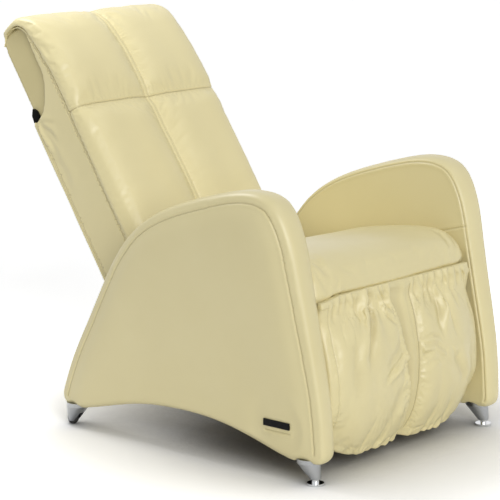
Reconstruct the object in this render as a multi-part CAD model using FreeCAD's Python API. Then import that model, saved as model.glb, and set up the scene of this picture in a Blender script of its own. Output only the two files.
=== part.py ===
import FreeCAD, Part
import math
import os

# A home massage chair in cream leather: two fin-shaped arms, a reclining back
# with a travelling massage carriage, a seat and a swinging leg rest.
# Millimetres. X is the sitter's left, the chair faces -Y, Z is up.
# While it is built, y = 0 is at the middle of the front feet.

V = FreeCAD.Vector
os.makedirs("parts", exist_ok=True)

# Clearances that the fits share
running_gap = 0.05
soft_gap = 0.4
pad_gap = 0.5
hole_gap = 0.3
swing_gap = 1.5

# Arms: the room between them, the outline in the side view and the thickness
arm_inner = 300.0
arm_front = -37.0
arm_depth = 849.0
arm_bottom = 50.0
arm_height = 616.0
arm_foot_thickness = 58.0
arm_top_thickness = 92.0
arm_band_crown = 13.0
arm_core_thickness = 18.0
arm_core_from_inside = 20.0
# Share of the thickness from the inner side, and share of the band's crown there
arm_band_profile = [(0.0, 1.0), (0.12, 0.3), (0.5, 0.0), (0.88, 0.3), (1.0, 1.0)]
# Share of the arm's depth and of its height, from the front foot over the top
arm_outline = [
    (0.031, 0.000), (0.005, 0.020), (0.000, 0.075), (0.005, 0.180), (0.032, 0.406),
    (0.075, 0.698), (0.115, 0.893), (0.161, 0.974), (0.238, 1.000), (0.340, 0.980),
    (0.456, 0.935), (0.597, 0.860), (0.691, 0.774), (0.803, 0.571), (0.879, 0.386),
    (0.943, 0.232), (0.990, 0.085), (0.996, 0.030), (0.975, 0.000), (0.915, 0.000),
    (0.826, 0.029), (0.700, 0.070), (0.520, 0.093), (0.330, 0.073), (0.205, 0.029),
    (0.120, 0.000),
]
arm_core_outline = [
    (0.045, 0.055), (0.060, 0.330), (0.105, 0.610), (0.155, 0.860), (0.230, 0.915),
    (0.430, 0.850), (0.590, 0.770), (0.700, 0.620), (0.800, 0.420), (0.885, 0.240),
    (0.945, 0.055), (0.860, 0.075), (0.700, 0.135), (0.520, 0.155), (0.340, 0.135),
    (0.170, 0.070),
]

# Legs, glides and rear wheels
leg_inset = 31.0
rear_leg_inset = 21.0
leg_sweep = 20.0
leg_top_radius = 29.0
leg_bottom_radius = 13.5
leg_collar_height = 10.0
leg_stud_radius = 5.0
leg_stud_length = 40.0
glide_radius = 20.0
glide_thickness = 5.0
glide_neck_radius = 8.0
glide_neck_height = 9.0
wheel_radius = 15.0
wheel_width = 13.0
wheel_rim_round = 2.0
wheel_axle_radius = 3.0
wheel_room = 3.0
rear_leg_foot_z = 9.0
axle_end_inset = 1.0

# Steel frame between the arms
beam_height = 40.0
beam_depth = 40.0
beam_wall = 3.0
beam_bottom = 200.0
front_beam_y = 170.0
rear_beam_before_seat_rear = 25.0
flange_thickness = 8.0
flange_size = 90.0
flange_bolt_spacing = 60.0
bolt_radius = 5.0
bolt_head_radius = 8.5
bolt_head_height = 6.0
bolt_bite = 13.0

# Seat
seat_side_room = 8.0
seat_front_y = 31.0
seat_depth = 514.0
seat_slope_deg = 7.2
seat_board_top = 392.0
seat_board_thickness = 12.0
seat_board_side_room = 17.0
seat_board_rear_inset = 15.0
seat_board_roll_gap = 4.0
seat_crown = 8.0
seat_edge_drop = 30.0
seat_end_inset = 10.0
seat_lip_gap = 1.5
# Along the top from the front lip: distance behind the front, height over the lip, and
# how much of the side's drop moves the point back and down
seat_profile_front = [
    (8, 0, 0.4, 0.0), (-2, 22, 0.5, 0.0), (12, 62, 0.5, 0.5), (42, 86, 0.0, 1.0), (92, 94, 0.0, 1.0),
    (180, 87, 0.0, 1.0), (290, 66, 0.0, 1.0),
]
# The same towards the back, with the distance before the rear
seat_profile_rear = [(114, 34, 0.0, 1.0), (20, 0, -0.3, 0.7), (2, -26, -0.4, 0.0)]
# Shares of the half width at which the cushion's side view is drawn
seat_shares = [1.0, 0.985, 0.96, 0.92, 0.86, 0.75, 0.5, 0.25]
rail_side_room = 19.0
rail_width = 25.0
rail_height = 28.0
rail_front_behind_hinge = 12.0
post_depth = 28.0
rear_post_before_beam = 12.0
cross_tube_height = 18.0
cross_tube_depth = 20.0
cross_tube_gap = 1.0
front_cross_before_beam = 30.0
rear_cross_before_beam = 60.0

# Back and its hinge
back_lean_deg = 33.2
back_hinge_behind_seat = 55.0
back_hinge_z = 345.0
back_hinge_tube_radius = 18.0
back_pin_radius = 8.0
back_pin_reach = 30.0
hinge_boss_wall = 7.0
hinge_boss_gap = 2.0
hinge_plate_drop = 5.0
back_side_room = 42.0
back_pad_seat_n = -13.0
back_bottom_s = -4.0
cross_seam_s = 503.0
cross_seam_depth = 9.0
cross_seam_width = 17.0
side_cover_inset = 6.0
side_cover_thickness = 12.0
side_cover_bottom_s = -24.0
head_panel_recess = 2.0
head_panel_thickness = 12.0
head_shell_wall = 9.0
rear_cover_outer_n = 127.0
rear_cover_thickness = 14.0
rear_cover_top_s = 545.0
rear_cover_round = 11.0
mouth_lining_thickness = 4.0
mouth_lining_s = 531.0
mouth_lining_depth = 9.0
# The line where the pad lies on the back, over the top of the head: n, s, pad thickness
head_bend = [
    (back_pad_seat_n, 600, 47.0), (-6, 671, 46.0), (0, 712, 43.0), (9, 751, 34.0), (31, 776, 25.0),
    (60, 782, 20.0), (92, 774, 16.0), (112, 759, 13.0),
]
head_bend_end_deg = -41.3
# Height and pad thickness on the straight part below
straight_thickness = [(back_bottom_s, 41.0), (60, 50.0), (250, 54.0), (400, 51.0), (600, 47.0)]
straight_heights = [25, 60, 120, 190, 250, 320, 380, 430]
# Heights over the cross seam where the pad's section is drawn
seam_steps = [-40, -24, -12, 0, 12, 24, 45, 70]
# Share of the half width and share of the thickness, from the side to the middle channel
pad_half_shape = [(1.0, 0.0), (1.0, 0.42), (0.975, 0.76), (0.90, 0.94), (0.55, 1.0), (0.12, 0.965), (0.0, 0.80)]
# Width of the leather lip over the head panel at the bend's inner points, from the front
side_lip_widths = [25, 18, 9, 6, 4]
# The lip's lower end round the head panel, as (n, s)
side_pocket = [(21, 632), (31, 603), (58, 565), (82, 546)]
side_pocket_rear_s = 536.0
head_panel_low = [(116, 585), (100, 545), (55, 516)]
head_panel_low_front_s = 505.0
head_panel_rear_top = (116, 745)
head_shell_rear = [(116, 735), (116, 650), (116, 590), (112, 560), (106, 537)]

# Steel frame in the back
frame_tube = 25.0
frame_side_room = 20.0
frame_tube_n = 35.0
frame_top_s = 735.0
frame_top_depth = 39.0
screw_cross_s = 80.0
screw_cross_height = 20.0
screw_cross_depth = 45.0
cover_bracket_heights = [60.0, 250.0, 440.0]
cover_bracket_height = 20.0
head_bracket_s = 640.0

# Massage drive inside the back
rod_radius = 8.0
rod_inset = 43.0
rod_n = 50.0
screw_radius = 7.0
screw_journal_radius = 5.0
screw_journal_low = 20.0
screw_journal_top_inset = 2.0
screw_end_gap = 0.5
screw_n = 66.0
screw_motor_radius = 22.0
screw_motor_length = 48.0
carriage_s = 360.0
carriage_plate_n = 74.0
carriage_plate_thickness = 6.0
carriage_plate_half_height = 55.0
bush_wall = 6.0
plate_overhang = 2.0
bush_half_height = 42.0
bush_front_n = 35.0
nut_half_width = 16.0
nut_half_height = 22.0
nut_front_n = 52.0
cheek_x = 118.0
cheek_thickness = 8.0
cheek_front_reach = 14.0
cheek_half_height = 16.0
kneading_shaft_radius = 6.0
kneading_shaft_n = 36.0
kneading_shaft_overhang = 4.0
shaft_collar_gap = 1.0
shaft_collar_wall = 4.0
shaft_collar_width = 4.0
gearbox_x = 22.0
gearbox_width = 30.0
gearbox_above = 18.0
gearbox_below = 34.0
gearbox_front_reach = 16.0
kneading_motor_radius = 17.0
kneading_motor_length = 56.0
kneading_motor_n = 52.0
roller_radius = 24.0
roller_width = 30.0
roller_round = 9.0
roller_x = 70.0
roller_reach = 52.0
roller_n = 20.0
roller_axle_radius = 5.0
roller_axle_overhang = 1.0
arm_plate_gap = 2.0
arm_plate_thickness = 6.0
arm_tip_radius = 11.0
arm_hub_wall = 8.0
arm_hub_width = 12.0

# Leg rest and its hinge
legrest_hinge_behind_front = 7.0
legrest_hinge_below_board = 6.0
legrest_tube_radius = 10.0
legrest_roll_radius = 18.0
legrest_pin_radius = 5.0
legrest_pin_inner = 26.0
legrest_pin_outer = 3.0
legrest_side_room = 14.0
legrest_neck_side_room = 50.0
legrest_tube_end_gap = 2.0
legrest_knuckle_radius = 13.0
legrest_knuckle_web = 18.0
legrest_boss_radius = 15.0
legrest_lug_radius = 14.0
legrest_lug_tip_radius = 10.0
legrest_shoulder_drop = 40.0
legrest_bottom_z = 30.0
legrest_pad_depth = 24.0
legrest_pocket_drop = 86.0
legrest_pocket_width = 52.0
legrest_pocket_before_hinge = 3.0
legrest_side_round = 24.0
legrest_middle_dip = 4.0
legrest_strip_recess = 5.0
legrest_strip_half_width = 30.0
legrest_fold_count = 4
legrest_board_thickness = 12.0
legrest_board_inset = 12.0
legrest_board_top_gap = 5.0
legrest_plate_x = 150.0
legrest_plate_thickness = 6.0
legrest_plate_depth = 10.0
legrest_plate_end = 60.0
# Share of the height up to the shoulder, front face before the hinge, depth of a fold
legrest_levels = [
    (0.000, 24.0, 6.0), (0.063, 35.0, 7.0), (0.215, 58.0, 6.0), (0.443, 72.0, 5.0), (0.658, 70.0, 5.0),
    (0.861, 56.0, 7.0), (1.000, 41.0, 8.0),
]
# The tucked top edge: depth below the hinge, front face before it, fold, and how full it is
legrest_top_levels = [
    (legrest_shoulder_drop, 41.0, 8.0, 1.0), (26.0, 35.0, 8.0, 0.95), (16.0, 31.0, 7.0, 0.8),
    (8.0, 25.0, 3.0, 0.5), (0.0, 17.0, 1.0, 0.1),
]

# Linear actuators
actuator_x = 80.0
actuator_tube_radius = 17.0
actuator_tube_length = 285.0
actuator_motor_radius = 29.0
actuator_motor_start = 24.0
actuator_motor_end = 70.0
actuator_bore_start = 80.0
actuator_rod_radius = 10.0
actuator_pin_radius = 6.0
actuator_pin_overhang = 2.0
actuator_eye_radius = 14.0
actuator_eye_width = 14.0
actuator_eye_gap = 1.0
rod_eye_neck = 20.0
rod_eye_overlap = 4.0
rod_eye_share = 0.8
rod_slot_play = 3.0
recline_rod_start = 180.0
legrest_rod_start = 100.0
lug_thickness = 6.0
actuator_pivot_height = 24.0
recline_lever = 90.0
recline_lever_deg = -70.0
legrest_lever = 47.5
legrest_lever_deg = -59.7
recline_open_slot = 5.0
legrest_open_slot = 10.0

# Power box
box_width = 110.0
box_depth = 110.0
box_height = 52.0
box_wall = 3.0
box_rail_gap = 11.0
inlet_from_side = 24.0
inlet_width = 27.0
inlet_height = 20.0
inlet_depth = 22.0
inlet_flange = 3.0
inlet_flange_thickness = 2.5
inlet_wall = 3.0
inlet_recess = 18.0
inlet_blade_depth = 4.0
# Offset of each blade from the middle of the inlet
inlet_blades = [(-6, -2), (0, 2), (6, -2)]
inlet_blade_width = 2.0
inlet_blade_height = 5.0
switch_from_side = 60.0
switch_width = 14.0
switch_height = 20.0
switch_side_gap = 0.6
switch_end_gap = 2.0
switch_pivot_depth = 4.0
switch_stub_radius = 1.5
switch_stub_length = 2.2
switch_ear_thickness = 2.0
switch_ear_reach = 4.0
switch_travel_deg = 14.0
# Side view of the rocker about its pivot: depth, and share of the half height
switch_face = [(-3.0, -1), (-3.0, 1), (5.5, 1), (3.2, 0), (5.5, -1)]
socket_from_side = 90.0
socket_radius = 7.0
socket_depth = 16.0
socket_hole_depth = 12.0
socket_wall = 2.5
socket_flange = 2.5
socket_flange_thickness = 2.0

# The blank plate on the right arm
plate_length = 77.0
plate_height = 16.0
plate_proud = 2.0
plate_sunk = 4.0
plate_y = 91.0
plate_z = 133.0

# Places that follow from the sizes above
arm_rear = arm_front + arm_depth
arm_top = arm_bottom + arm_height
front_leg_y = 0.0
rear_leg_y = arm_rear - rear_leg_inset
leg_x = arm_inner + leg_inset
flange_inner = arm_inner - flange_thickness
beam_top = beam_bottom + beam_height
beam_mid = beam_bottom + beam_height / 2
seat_half_width = arm_inner - seat_side_room
seat_rear_y = seat_front_y + seat_depth
rear_beam_y = seat_rear_y - rear_beam_before_seat_rear
seat_board_half_width = arm_inner - seat_board_side_room
seat_board_rear_y = seat_rear_y - seat_board_rear_inset
rail_outer = arm_inner - rail_side_room
rail_inner = rail_outer - rail_width
back_hinge_y = seat_rear_y + back_hinge_behind_seat
back_pad_half_width = arm_inner - back_side_room
back_cover_half_width = back_pad_half_width - side_cover_inset
cover_inner = back_cover_half_width - side_cover_thickness
head_outer = cover_inner - head_panel_recess
head_inner = head_outer - head_panel_thickness
rear_cover_inner_n = rear_cover_outer_n - rear_cover_thickness
frame_outer = cover_inner - frame_side_room
rod_x = frame_outer - rod_inset
massage_plate_x = roller_x + roller_width / 2 + arm_plate_gap
legrest_hinge_y = seat_front_y + legrest_hinge_behind_front
legrest_hinge_z = seat_board_top - legrest_hinge_below_board
legrest_half_width = arm_inner - legrest_side_room
legrest_neck_half_width = arm_inner - legrest_neck_side_room
legrest_pad_back_y = legrest_hinge_y + legrest_pad_depth
legrest_board_back_y = legrest_pad_back_y + legrest_board_thickness
legrest_shoulder_z = legrest_hinge_z - legrest_shoulder_drop
legrest_pocket_bottom_z = legrest_hinge_z - legrest_pocket_drop
seat_board_front_y = legrest_hinge_y + legrest_roll_radius + seat_board_roll_gap
seat_lip_z = legrest_hinge_z + legrest_roll_radius + seat_lip_gap
actuator_pivot_z = beam_top + actuator_pivot_height
recline_base = (front_beam_y, actuator_pivot_z)
legrest_base = (rear_beam_y, actuator_pivot_z)
box_rear_y = rear_beam_y + beam_depth
box_mid_z = beam_top + box_height / 2
box_inner_x = rail_inner - box_rail_gap - box_width
inlet_x = box_inner_x + inlet_from_side
switch_x = box_inner_x + switch_from_side
socket_x = box_inner_x + socket_from_side
shapes = {}


def box(x0, x1, y0, y1, z0, z1):
    corner = V(min(x0, x1), min(y0, y1), min(z0, z1))
    return Part.makeBox(abs(x1 - x0), abs(y1 - y0), abs(z1 - z0), corner)


def cyl_x(x0, x1, y, z, r):
    return Part.makeCylinder(r, abs(x1 - x0), V(min(x0, x1), y, z), V(1, 0, 0))


def cyl_y(y0, y1, x, z, r):
    return Part.makeCylinder(r, abs(y1 - y0), V(x, min(y0, y1), z), V(0, 1, 0))


def cyl_z(z0, z1, x, y, r):
    return Part.makeCylinder(r, abs(z1 - z0), V(x, y, min(z0, z1)), V(0, 0, 1))


def spline(points, closed=False):
    curve = Part.BSplineCurve()
    curve.interpolate(Points=points, PeriodicFlag=closed)
    return curve.toShape()


def polygon(points):
    return Part.makePolygon(points + [points[0]])


def side_plate(outline, x0, x1):
    """A plate between two x values from an outline of (y, z) corners."""
    wire = polygon([V(min(x0, x1), y, z) for y, z in outline])
    return Part.Face(wire).extrude(V(abs(x1 - x0), 0, 0))


def mirror_x(shape):
    return shape.mirror(V(0, 0, 0), V(1, 0, 0))


def fuse_all(first, *others):
    return first.multiFuse(list(others)).removeSplitter()


def round_edges(shape):
    return [e for e in shape.Edges if e.Curve.TypeId == "Part::GeomCircle"]


def leaned(shape):
    """Take a back piece from its own upright frame to the leaning back.

    In that frame Y is the depth n behind the hinge and Z the height s along the back.
    """
    placed = shape.copy()
    placed.rotate(V(0, 0, 0), V(1, 0, 0), -back_lean_deg)
    placed.translate(V(0, back_hinge_y, back_hinge_z))
    return placed


def seat_board_z(y):
    """Height of the seat board's top face at a depth y."""
    return seat_board_top - (y - seat_board_front_y) * math.tan(math.radians(seat_slope_deg))


# Arms

def arm_loop(outline, inset):
    """The arm outline as (y, z) points, drawn in by inset along its normals."""
    pts = [(arm_front + u * arm_depth, arm_bottom + v * arm_height) for u, v in outline]
    count = len(pts)
    loop = []
    for i, (y, z) in enumerate(pts):
        before = pts[i - 1]
        after = pts[(i + 1) % count]
        ty = after[0] - before[0]
        tz = after[1] - before[1]
        length = math.hypot(ty, tz)
        loop.append((y + inset * tz / length, z - inset * ty / length))
    return loop


def arm_outer_x(z):
    share = (z - arm_bottom) / arm_height
    thickness = arm_foot_thickness + share * (arm_top_thickness - arm_foot_thickness)
    return arm_inner + thickness


def make_arm_pad():
    """The stuffed arm: a crowned band between a flat inner and outer side."""
    wires = []
    for share, crown_share in arm_band_profile:
        points = []
        for y, z in arm_loop(arm_outline, arm_band_crown * crown_share):
            x = arm_inner + share * (arm_outer_x(z) - arm_inner)
            points.append(V(x, y, z))
        wires.append(Part.Wire([spline(points, closed=True)]))
    return Part.makeLoft(wires, True, False)


def make_arm_core():
    x0 = arm_inner + arm_core_from_inside
    loop = arm_loop(arm_core_outline, 0.0)
    return side_plate(loop, x0, x0 + arm_core_thickness)


# Legs

def leg_cone(foot_y, top_y, foot_z):
    low = Part.Wire([Part.makeCircle(leg_bottom_radius, V(leg_x, foot_y, foot_z))])
    high = Part.Wire([Part.makeCircle(leg_top_radius, V(leg_x, top_y, arm_bottom))])
    cone = Part.makeLoft([low, high], True, True)
    collar = cyl_z(arm_bottom, arm_bottom + leg_collar_height, leg_x, top_y, leg_top_radius)
    stud = cyl_z(arm_bottom, arm_bottom + leg_stud_length, leg_x, top_y, leg_stud_radius)
    return fuse_all(cone, collar, stud)


def make_front_leg():
    return leg_cone(front_leg_y, front_leg_y + leg_sweep, glide_thickness + glide_neck_height)


def make_front_glide():
    disc = cyl_z(0, glide_thickness, leg_x, front_leg_y, glide_radius)
    neck_top = glide_thickness + glide_neck_height
    neck = cyl_z(glide_thickness, neck_top, leg_x, front_leg_y, glide_neck_radius)
    return fuse_all(disc, neck)


def make_rear_leg():
    """A swept cone whose foot is slotted for the wheel."""
    leg = leg_cone(rear_leg_y, rear_leg_y - leg_sweep, rear_leg_foot_z)
    slot_half = wheel_width / 2 + wheel_room / 2
    reach = 2 * leg_top_radius
    slot = box(leg_x - slot_half, leg_x + slot_half, rear_leg_y - reach, rear_leg_y + reach,
               0, 2 * wheel_radius + wheel_room)
    axle_hole = cyl_x(leg_x - leg_top_radius, leg_x + leg_top_radius, rear_leg_y,
                      wheel_radius, wheel_axle_radius)
    return leg.cut(slot).cut(axle_hole)


def make_rear_wheel():
    wheel = cyl_x(leg_x - wheel_width / 2, leg_x + wheel_width / 2, rear_leg_y,
                  wheel_radius, wheel_radius)
    wheel = wheel.makeFillet(wheel_rim_round, round_edges(wheel))
    bore = cyl_x(leg_x - wheel_width, leg_x + wheel_width, rear_leg_y, wheel_radius,
                 wheel_axle_radius + running_gap)
    return wheel.cut(bore)


def make_wheel_axle():
    half = leg_bottom_radius - axle_end_inset
    return cyl_x(leg_x - half, leg_x + half, rear_leg_y, wheel_radius, wheel_axle_radius)


# Steel frame

def bolt_rows():
    """Every frame bolt on the left arm as (y, z)."""
    half = flange_bolt_spacing / 2
    rows = []
    for y in (front_beam_y, rear_beam_y):
        rows.append((y, beam_mid - half))
        rows.append((y, beam_mid + half))
    plate_z = back_hinge_z - hinge_plate_drop
    rows.append((back_hinge_y - half, plate_z - half))
    rows.append((back_hinge_y - half, plate_z + half))
    return rows


def bolt_holes(x0, x1, radius):
    return [cyl_x(x0, x1, y, z, radius) for y, z in bolt_rows()]


def bolt_tip_x():
    return arm_inner + arm_core_from_inside + bolt_bite


def make_frame_bolts():
    """Bolts that hold the beams and the hinge plates to the arm boards, both sides."""
    bolts = []
    for y, z in bolt_rows():
        shank = cyl_x(flange_inner, bolt_tip_x(), y, z, bolt_radius)
        head = cyl_x(flange_inner - bolt_head_height, flange_inner, y, z, bolt_head_radius)
        bolt = shank.fuse(head)
        bolts.append(bolt)
        bolts.append(mirror_x(bolt))
    return Part.makeCompound(bolts)


def make_beam(y):
    """A square tube across the chair with a flange at each arm."""
    half_depth = beam_depth / 2
    tube = box(-flange_inner, flange_inner, y - half_depth, y + half_depth, beam_bottom, beam_top)
    hollow = box(-flange_inner, flange_inner, y - half_depth + beam_wall,
                 y + half_depth - beam_wall, beam_bottom + beam_wall, beam_top - beam_wall)
    tube = tube.cut(hollow)
    half = flange_size / 2
    plates = []
    for side in (-1, 1):
        plates.append(box(side * flange_inner, side * arm_inner, y - half, y + half,
                          beam_mid - half, beam_mid + half))
    beam = fuse_all(tube, *plates)
    for hole in bolt_holes(flange_inner, arm_inner, bolt_radius):
        beam = beam.cut(hole).cut(mirror_x(hole))
    return beam


def pivot_ears(x, y, z, base_z):
    """Two ears on a beam's top at base_z, with a pin between them."""
    half_gap = actuator_eye_width / 2 + actuator_eye_gap
    reach = actuator_eye_radius
    pieces = []
    for side in (-1, 1):
        x0 = x + side * half_gap
        x1 = x0 + side * lug_thickness
        pieces.append(box(x0, x1, y - reach, y + reach, base_z, z))
        pieces.append(cyl_x(x0, x1, y, z, reach))
    span = half_gap + lug_thickness + actuator_pin_overhang
    pieces.append(cyl_x(x - span, x + span, y, z, actuator_pin_radius))
    return pieces


def make_front_beam():
    ears = pivot_ears(-actuator_x, *recline_base, beam_top)
    return fuse_all(make_beam(front_beam_y), *ears)


def make_rear_beam():
    ears = pivot_ears(actuator_x, *legrest_base, beam_top)
    return fuse_all(make_beam(rear_beam_y), *ears)


def make_back_hinge_bracket():
    """A plate bolted to the left arm with the pin that the back turns on."""
    half = flange_size / 2
    plate_z = back_hinge_z - hinge_plate_drop
    plate = box(flange_inner, arm_inner, back_hinge_y - half, back_hinge_y + half,
                plate_z - half, plate_z + half)
    boss = cyl_x(back_pad_half_width + hinge_boss_gap, flange_inner, back_hinge_y, back_hinge_z,
                 back_pin_radius + hinge_boss_wall)
    pin = cyl_x(frame_outer - back_pin_reach, flange_inner, back_hinge_y, back_hinge_z,
                back_pin_radius)
    bracket = fuse_all(plate, boss, pin)
    for hole in bolt_holes(flange_inner, arm_inner, bolt_radius):
        bracket = bracket.cut(hole)
    return bracket


# Seat

def seat_rail():
    """The left rail with its knuckle for the leg rest and its two posts."""
    front_y = legrest_hinge_y + rail_front_behind_hinge
    top_front = seat_board_z(front_y) - seat_board_thickness
    top_rear = seat_board_z(seat_board_rear_y) - seat_board_thickness
    outline = [(front_y, top_front), (seat_board_rear_y, top_rear),
               (seat_board_rear_y, top_rear - rail_height), (front_y, top_front - rail_height)]
    rail = side_plate(outline, rail_inner, rail_outer)
    knuckle = cyl_x(rail_inner, rail_outer, legrest_hinge_y, legrest_hinge_z, legrest_knuckle_radius)
    web = box(rail_inner, rail_outer, legrest_hinge_y, legrest_hinge_y + legrest_knuckle_web,
              top_front - rail_height, legrest_hinge_z)
    posts = []
    half = post_depth / 2
    for y in (front_beam_y, rear_beam_y - rear_post_before_beam):
        post_top = seat_board_z(y + half) - seat_board_thickness - rail_height / 2
        posts.append(box(rail_inner, rail_outer, y - half, y + half, beam_top, post_top))
    rail = fuse_all(rail, knuckle, web, *posts)
    return rail.cut(cyl_x(rail_inner, rail_outer, legrest_hinge_y, legrest_hinge_z, legrest_pin_radius))


def make_seat_frame():
    left = seat_rail()
    half = cross_tube_depth / 2
    crosses = []
    for y in (front_beam_y - front_cross_before_beam, rear_beam_y - rear_cross_before_beam):
        top = seat_board_z(y + half) - seat_board_thickness - cross_tube_gap
        crosses.append(box(-rail_inner, rail_inner, y - half, y + half, top - cross_tube_height, top))
    return fuse_all(left, mirror_x(left), *crosses)


def make_legrest_pins():
    pins = []
    for side in (-1, 1):
        inner = side * (rail_inner - legrest_pin_inner)
        outer = side * (rail_outer + legrest_pin_outer)
        pins.append(cyl_x(inner, outer, legrest_hinge_y, legrest_hinge_z, legrest_pin_radius))
    return Part.makeCompound(pins)


def make_seat_board():
    front = seat_board_front_y
    rear = seat_board_rear_y
    outline = [(front, seat_board_z(front)), (rear, seat_board_z(rear)),
               (rear, seat_board_z(rear) - seat_board_thickness),
               (front, seat_board_z(front) - seat_board_thickness)]
    return side_plate(outline, -seat_board_half_width, seat_board_half_width)


def seat_section(x, drop):
    """Side outline of the cushion at x, with its top lowered and its ends drawn in by drop."""
    points = []
    rows = [(seat_front_y + behind, over, back, down) for behind, over, back, down in seat_profile_front]
    rows += [(seat_rear_y - before, over, back, down) for before, over, back, down in seat_profile_rear]
    for y, over, back, down in rows:
        points.append(V(x, y + drop * back, seat_lip_z + over - drop * down))
    low_rear_y = seat_rear_y - seat_end_inset
    low_front_y = seat_front_y + seat_end_inset
    low_rear = V(x, low_rear_y, seat_board_z(low_rear_y))
    low_front = V(x, low_front_y, seat_board_z(low_front_y))
    edges = [spline(points), Part.makeLine(points[-1], low_rear), Part.makeLine(low_rear, low_front),
             Part.makeLine(low_front, points[0])]
    return Part.Wire(edges)


def seat_drop(share):
    """How far the cushion's top lies below its flat line at a share of the half width."""
    return seat_edge_drop * abs(share) ** 14 - seat_crown * (1 - share ** 2)


def make_seat_cushion():
    w = seat_half_width
    shares = [-u for u in seat_shares] + [0.0] + seat_shares[::-1]
    sections = [seat_section(u * w, seat_drop(u)) for u in shares]
    cushion = Part.makeLoft(sections, True, True)
    under_lip = box(-w, w, 0, seat_board_front_y, 0, seat_lip_z)
    return cushion.cut(under_lip)


# Back pieces, in the back's own frame (x, n, s)

def blend_rows(rows, at):
    """Straight-line value between the rows (position, value)."""
    for (s0, v0), (s1, v1) in zip(rows[:-1], rows[1:]):
        if at <= s1:
            return v0 + (v1 - v0) * (at - s0) / (s1 - s0)
    return rows[-1][1]


def bend_curve():
    end = math.radians(head_bend_end_deg)
    curve = Part.BSplineCurve()
    curve.interpolate(Points=[V(0, n, s) for n, s, thickness in head_bend], InitialTangent=V(0, 0, 1),
                      FinalTangent=V(0, math.cos(end), math.sin(end)))
    return curve


def bend_rows(offset, steps):
    """Points along the bend, moved into the back by offset, with their outward direction."""
    curve = bend_curve()
    rows = []
    for (n0, s0, thick0), (n1, s1, thick1) in zip(head_bend[:-1], head_bend[1:]):
        t0 = curve.parameter(V(0, n0, s0))
        t1 = curve.parameter(V(0, n1, s1))
        for k in range(steps):
            share = k / steps
            rows.append((t0 + (t1 - t0) * share, thick0 + (thick1 - thick0) * share))
    rows.append((curve.LastParameter, head_bend[-1][2]))
    result = []
    for t, thickness in rows:
        tangent = curve.tangent(t)[0]
        out = V(0, -tangent.z, tangent.y)
        result.append((curve.value(t) - out * offset, out, thickness))
    return result


def pad_section(point, out, thickness):
    def at(x_share, share):
        return point + out * (share * thickness) + V(x_share * back_pad_half_width, 0, 0)

    left = [at(x, h) for x, h in pad_half_shape]
    right = [at(-x, h) for x, h in reversed(pad_half_shape)]
    edges = [Part.makeLine(right[-1], left[0]), spline(left), spline(right)]
    return Part.Wire(edges)


def seam_dip(s):
    """The cross seam pulls the pad in by this much at a height s."""
    return cross_seam_depth * math.exp(-((s - cross_seam_s) / cross_seam_width) ** 2)


def make_back_pad():
    """Four stuffed quarters between a middle channel and a cross seam, rolled over the top."""
    heights = [back_bottom_s] + straight_heights + [cross_seam_s + step for step in seam_steps]
    sections = []
    for s in heights:
        thickness = blend_rows(straight_thickness, s) - seam_dip(s)
        sections.append(pad_section(V(0, back_pad_seat_n, s), V(0, -1, 0), thickness))
    for point, out, thickness in bend_rows(0.0, 4):
        sections.append(pad_section(point, out, thickness))
    pad = Part.makeLoft(sections, True, True)
    w = back_pad_half_width
    return pad.cut(cyl_x(-w, w, 0, 0, back_hinge_tube_radius + soft_gap))


def make_side_cover():
    """The left leather side: a strip beside the pad that widens below the head panel."""
    x0 = cover_inner
    front = [point + V(x0, 0, 0) for point, out, thickness in bend_rows(pad_gap, 2)[:-4]]
    lip = []
    for (point, out, thickness), width in zip(bend_rows(0.0, 1)[1:], side_lip_widths):
        lip.append(point - out * width + V(x0, 0, 0))
    pocket = lip[::-1] + [V(x0, n, s) for n, s in side_pocket]
    pocket.append(V(x0, rear_cover_inner_n, side_pocket_rear_s))
    start = V(x0, back_pad_seat_n + pad_gap, side_cover_bottom_s)
    corner = V(x0, rear_cover_inner_n, side_cover_bottom_s)
    edges = [Part.makeLine(start, front[0]), spline(front), Part.makeLine(front[-1], pocket[0]),
             spline(pocket), Part.makeLine(pocket[-1], corner), Part.makeLine(corner, start)]
    plate = Part.Face(Part.Wire(edges)).extrude(V(side_cover_thickness, 0, 0))
    return plate.cut(cyl_x(x0, back_cover_half_width, 0, 0, back_pin_radius + swing_gap))


def make_head_panel():
    """The plain panel set back at the left side of the head."""
    top = [point + V(head_inner, 0, 0) for point, out, thickness in bend_rows(head_panel_recess, 2)]
    low_front = V(head_inner, top[0].y, head_panel_low_front_s)
    rear_top = V(head_inner, *head_panel_rear_top)
    bottom = [V(head_inner, n, s) for n, s in head_panel_low] + [low_front]
    edges = [Part.makeLine(low_front, top[0]), spline(top), Part.makeLine(top[-1], rear_top),
             Part.makeLine(rear_top, bottom[0]), spline(bottom)]
    return Part.Face(Part.Wire(edges)).extrude(V(head_panel_thickness, 0, 0))


def make_head_shell():
    """The bent board over the top and down the back of the head, between the panels."""
    over = bend_rows(head_panel_recess, 2)[6:]
    under = bend_rows(head_panel_recess + head_shell_wall, 2)[6:-1]
    outer = [point for point, out, thickness in over]
    outer += [V(0, n, s) for n, s in head_shell_rear]
    inner = [point for point, out, thickness in under]
    inner += [V(0, n - head_shell_wall, s) for n, s in head_shell_rear]
    edges = [spline(outer), Part.makeLine(outer[-1], inner[-1]), spline(inner),
             Part.makeLine(inner[0], outer[0])]
    face = Part.Face(Part.Wire(edges))
    face.translate(V(-head_inner, 0, 0))
    return face.extrude(V(2 * head_inner, 0, 0))


def make_rear_cover():
    w = back_cover_half_width
    cover = box(-w, w, rear_cover_inner_n, rear_cover_outer_n, back_bottom_s, rear_cover_top_s)
    edges = []
    for edge in cover.Edges:
        bounds = edge.BoundBox
        if min(bounds.YMin, bounds.YMax) > (rear_cover_inner_n + rear_cover_outer_n) / 2:
            edges.append(edge)
    return cover.makeFillet(rear_cover_round, edges)


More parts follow.
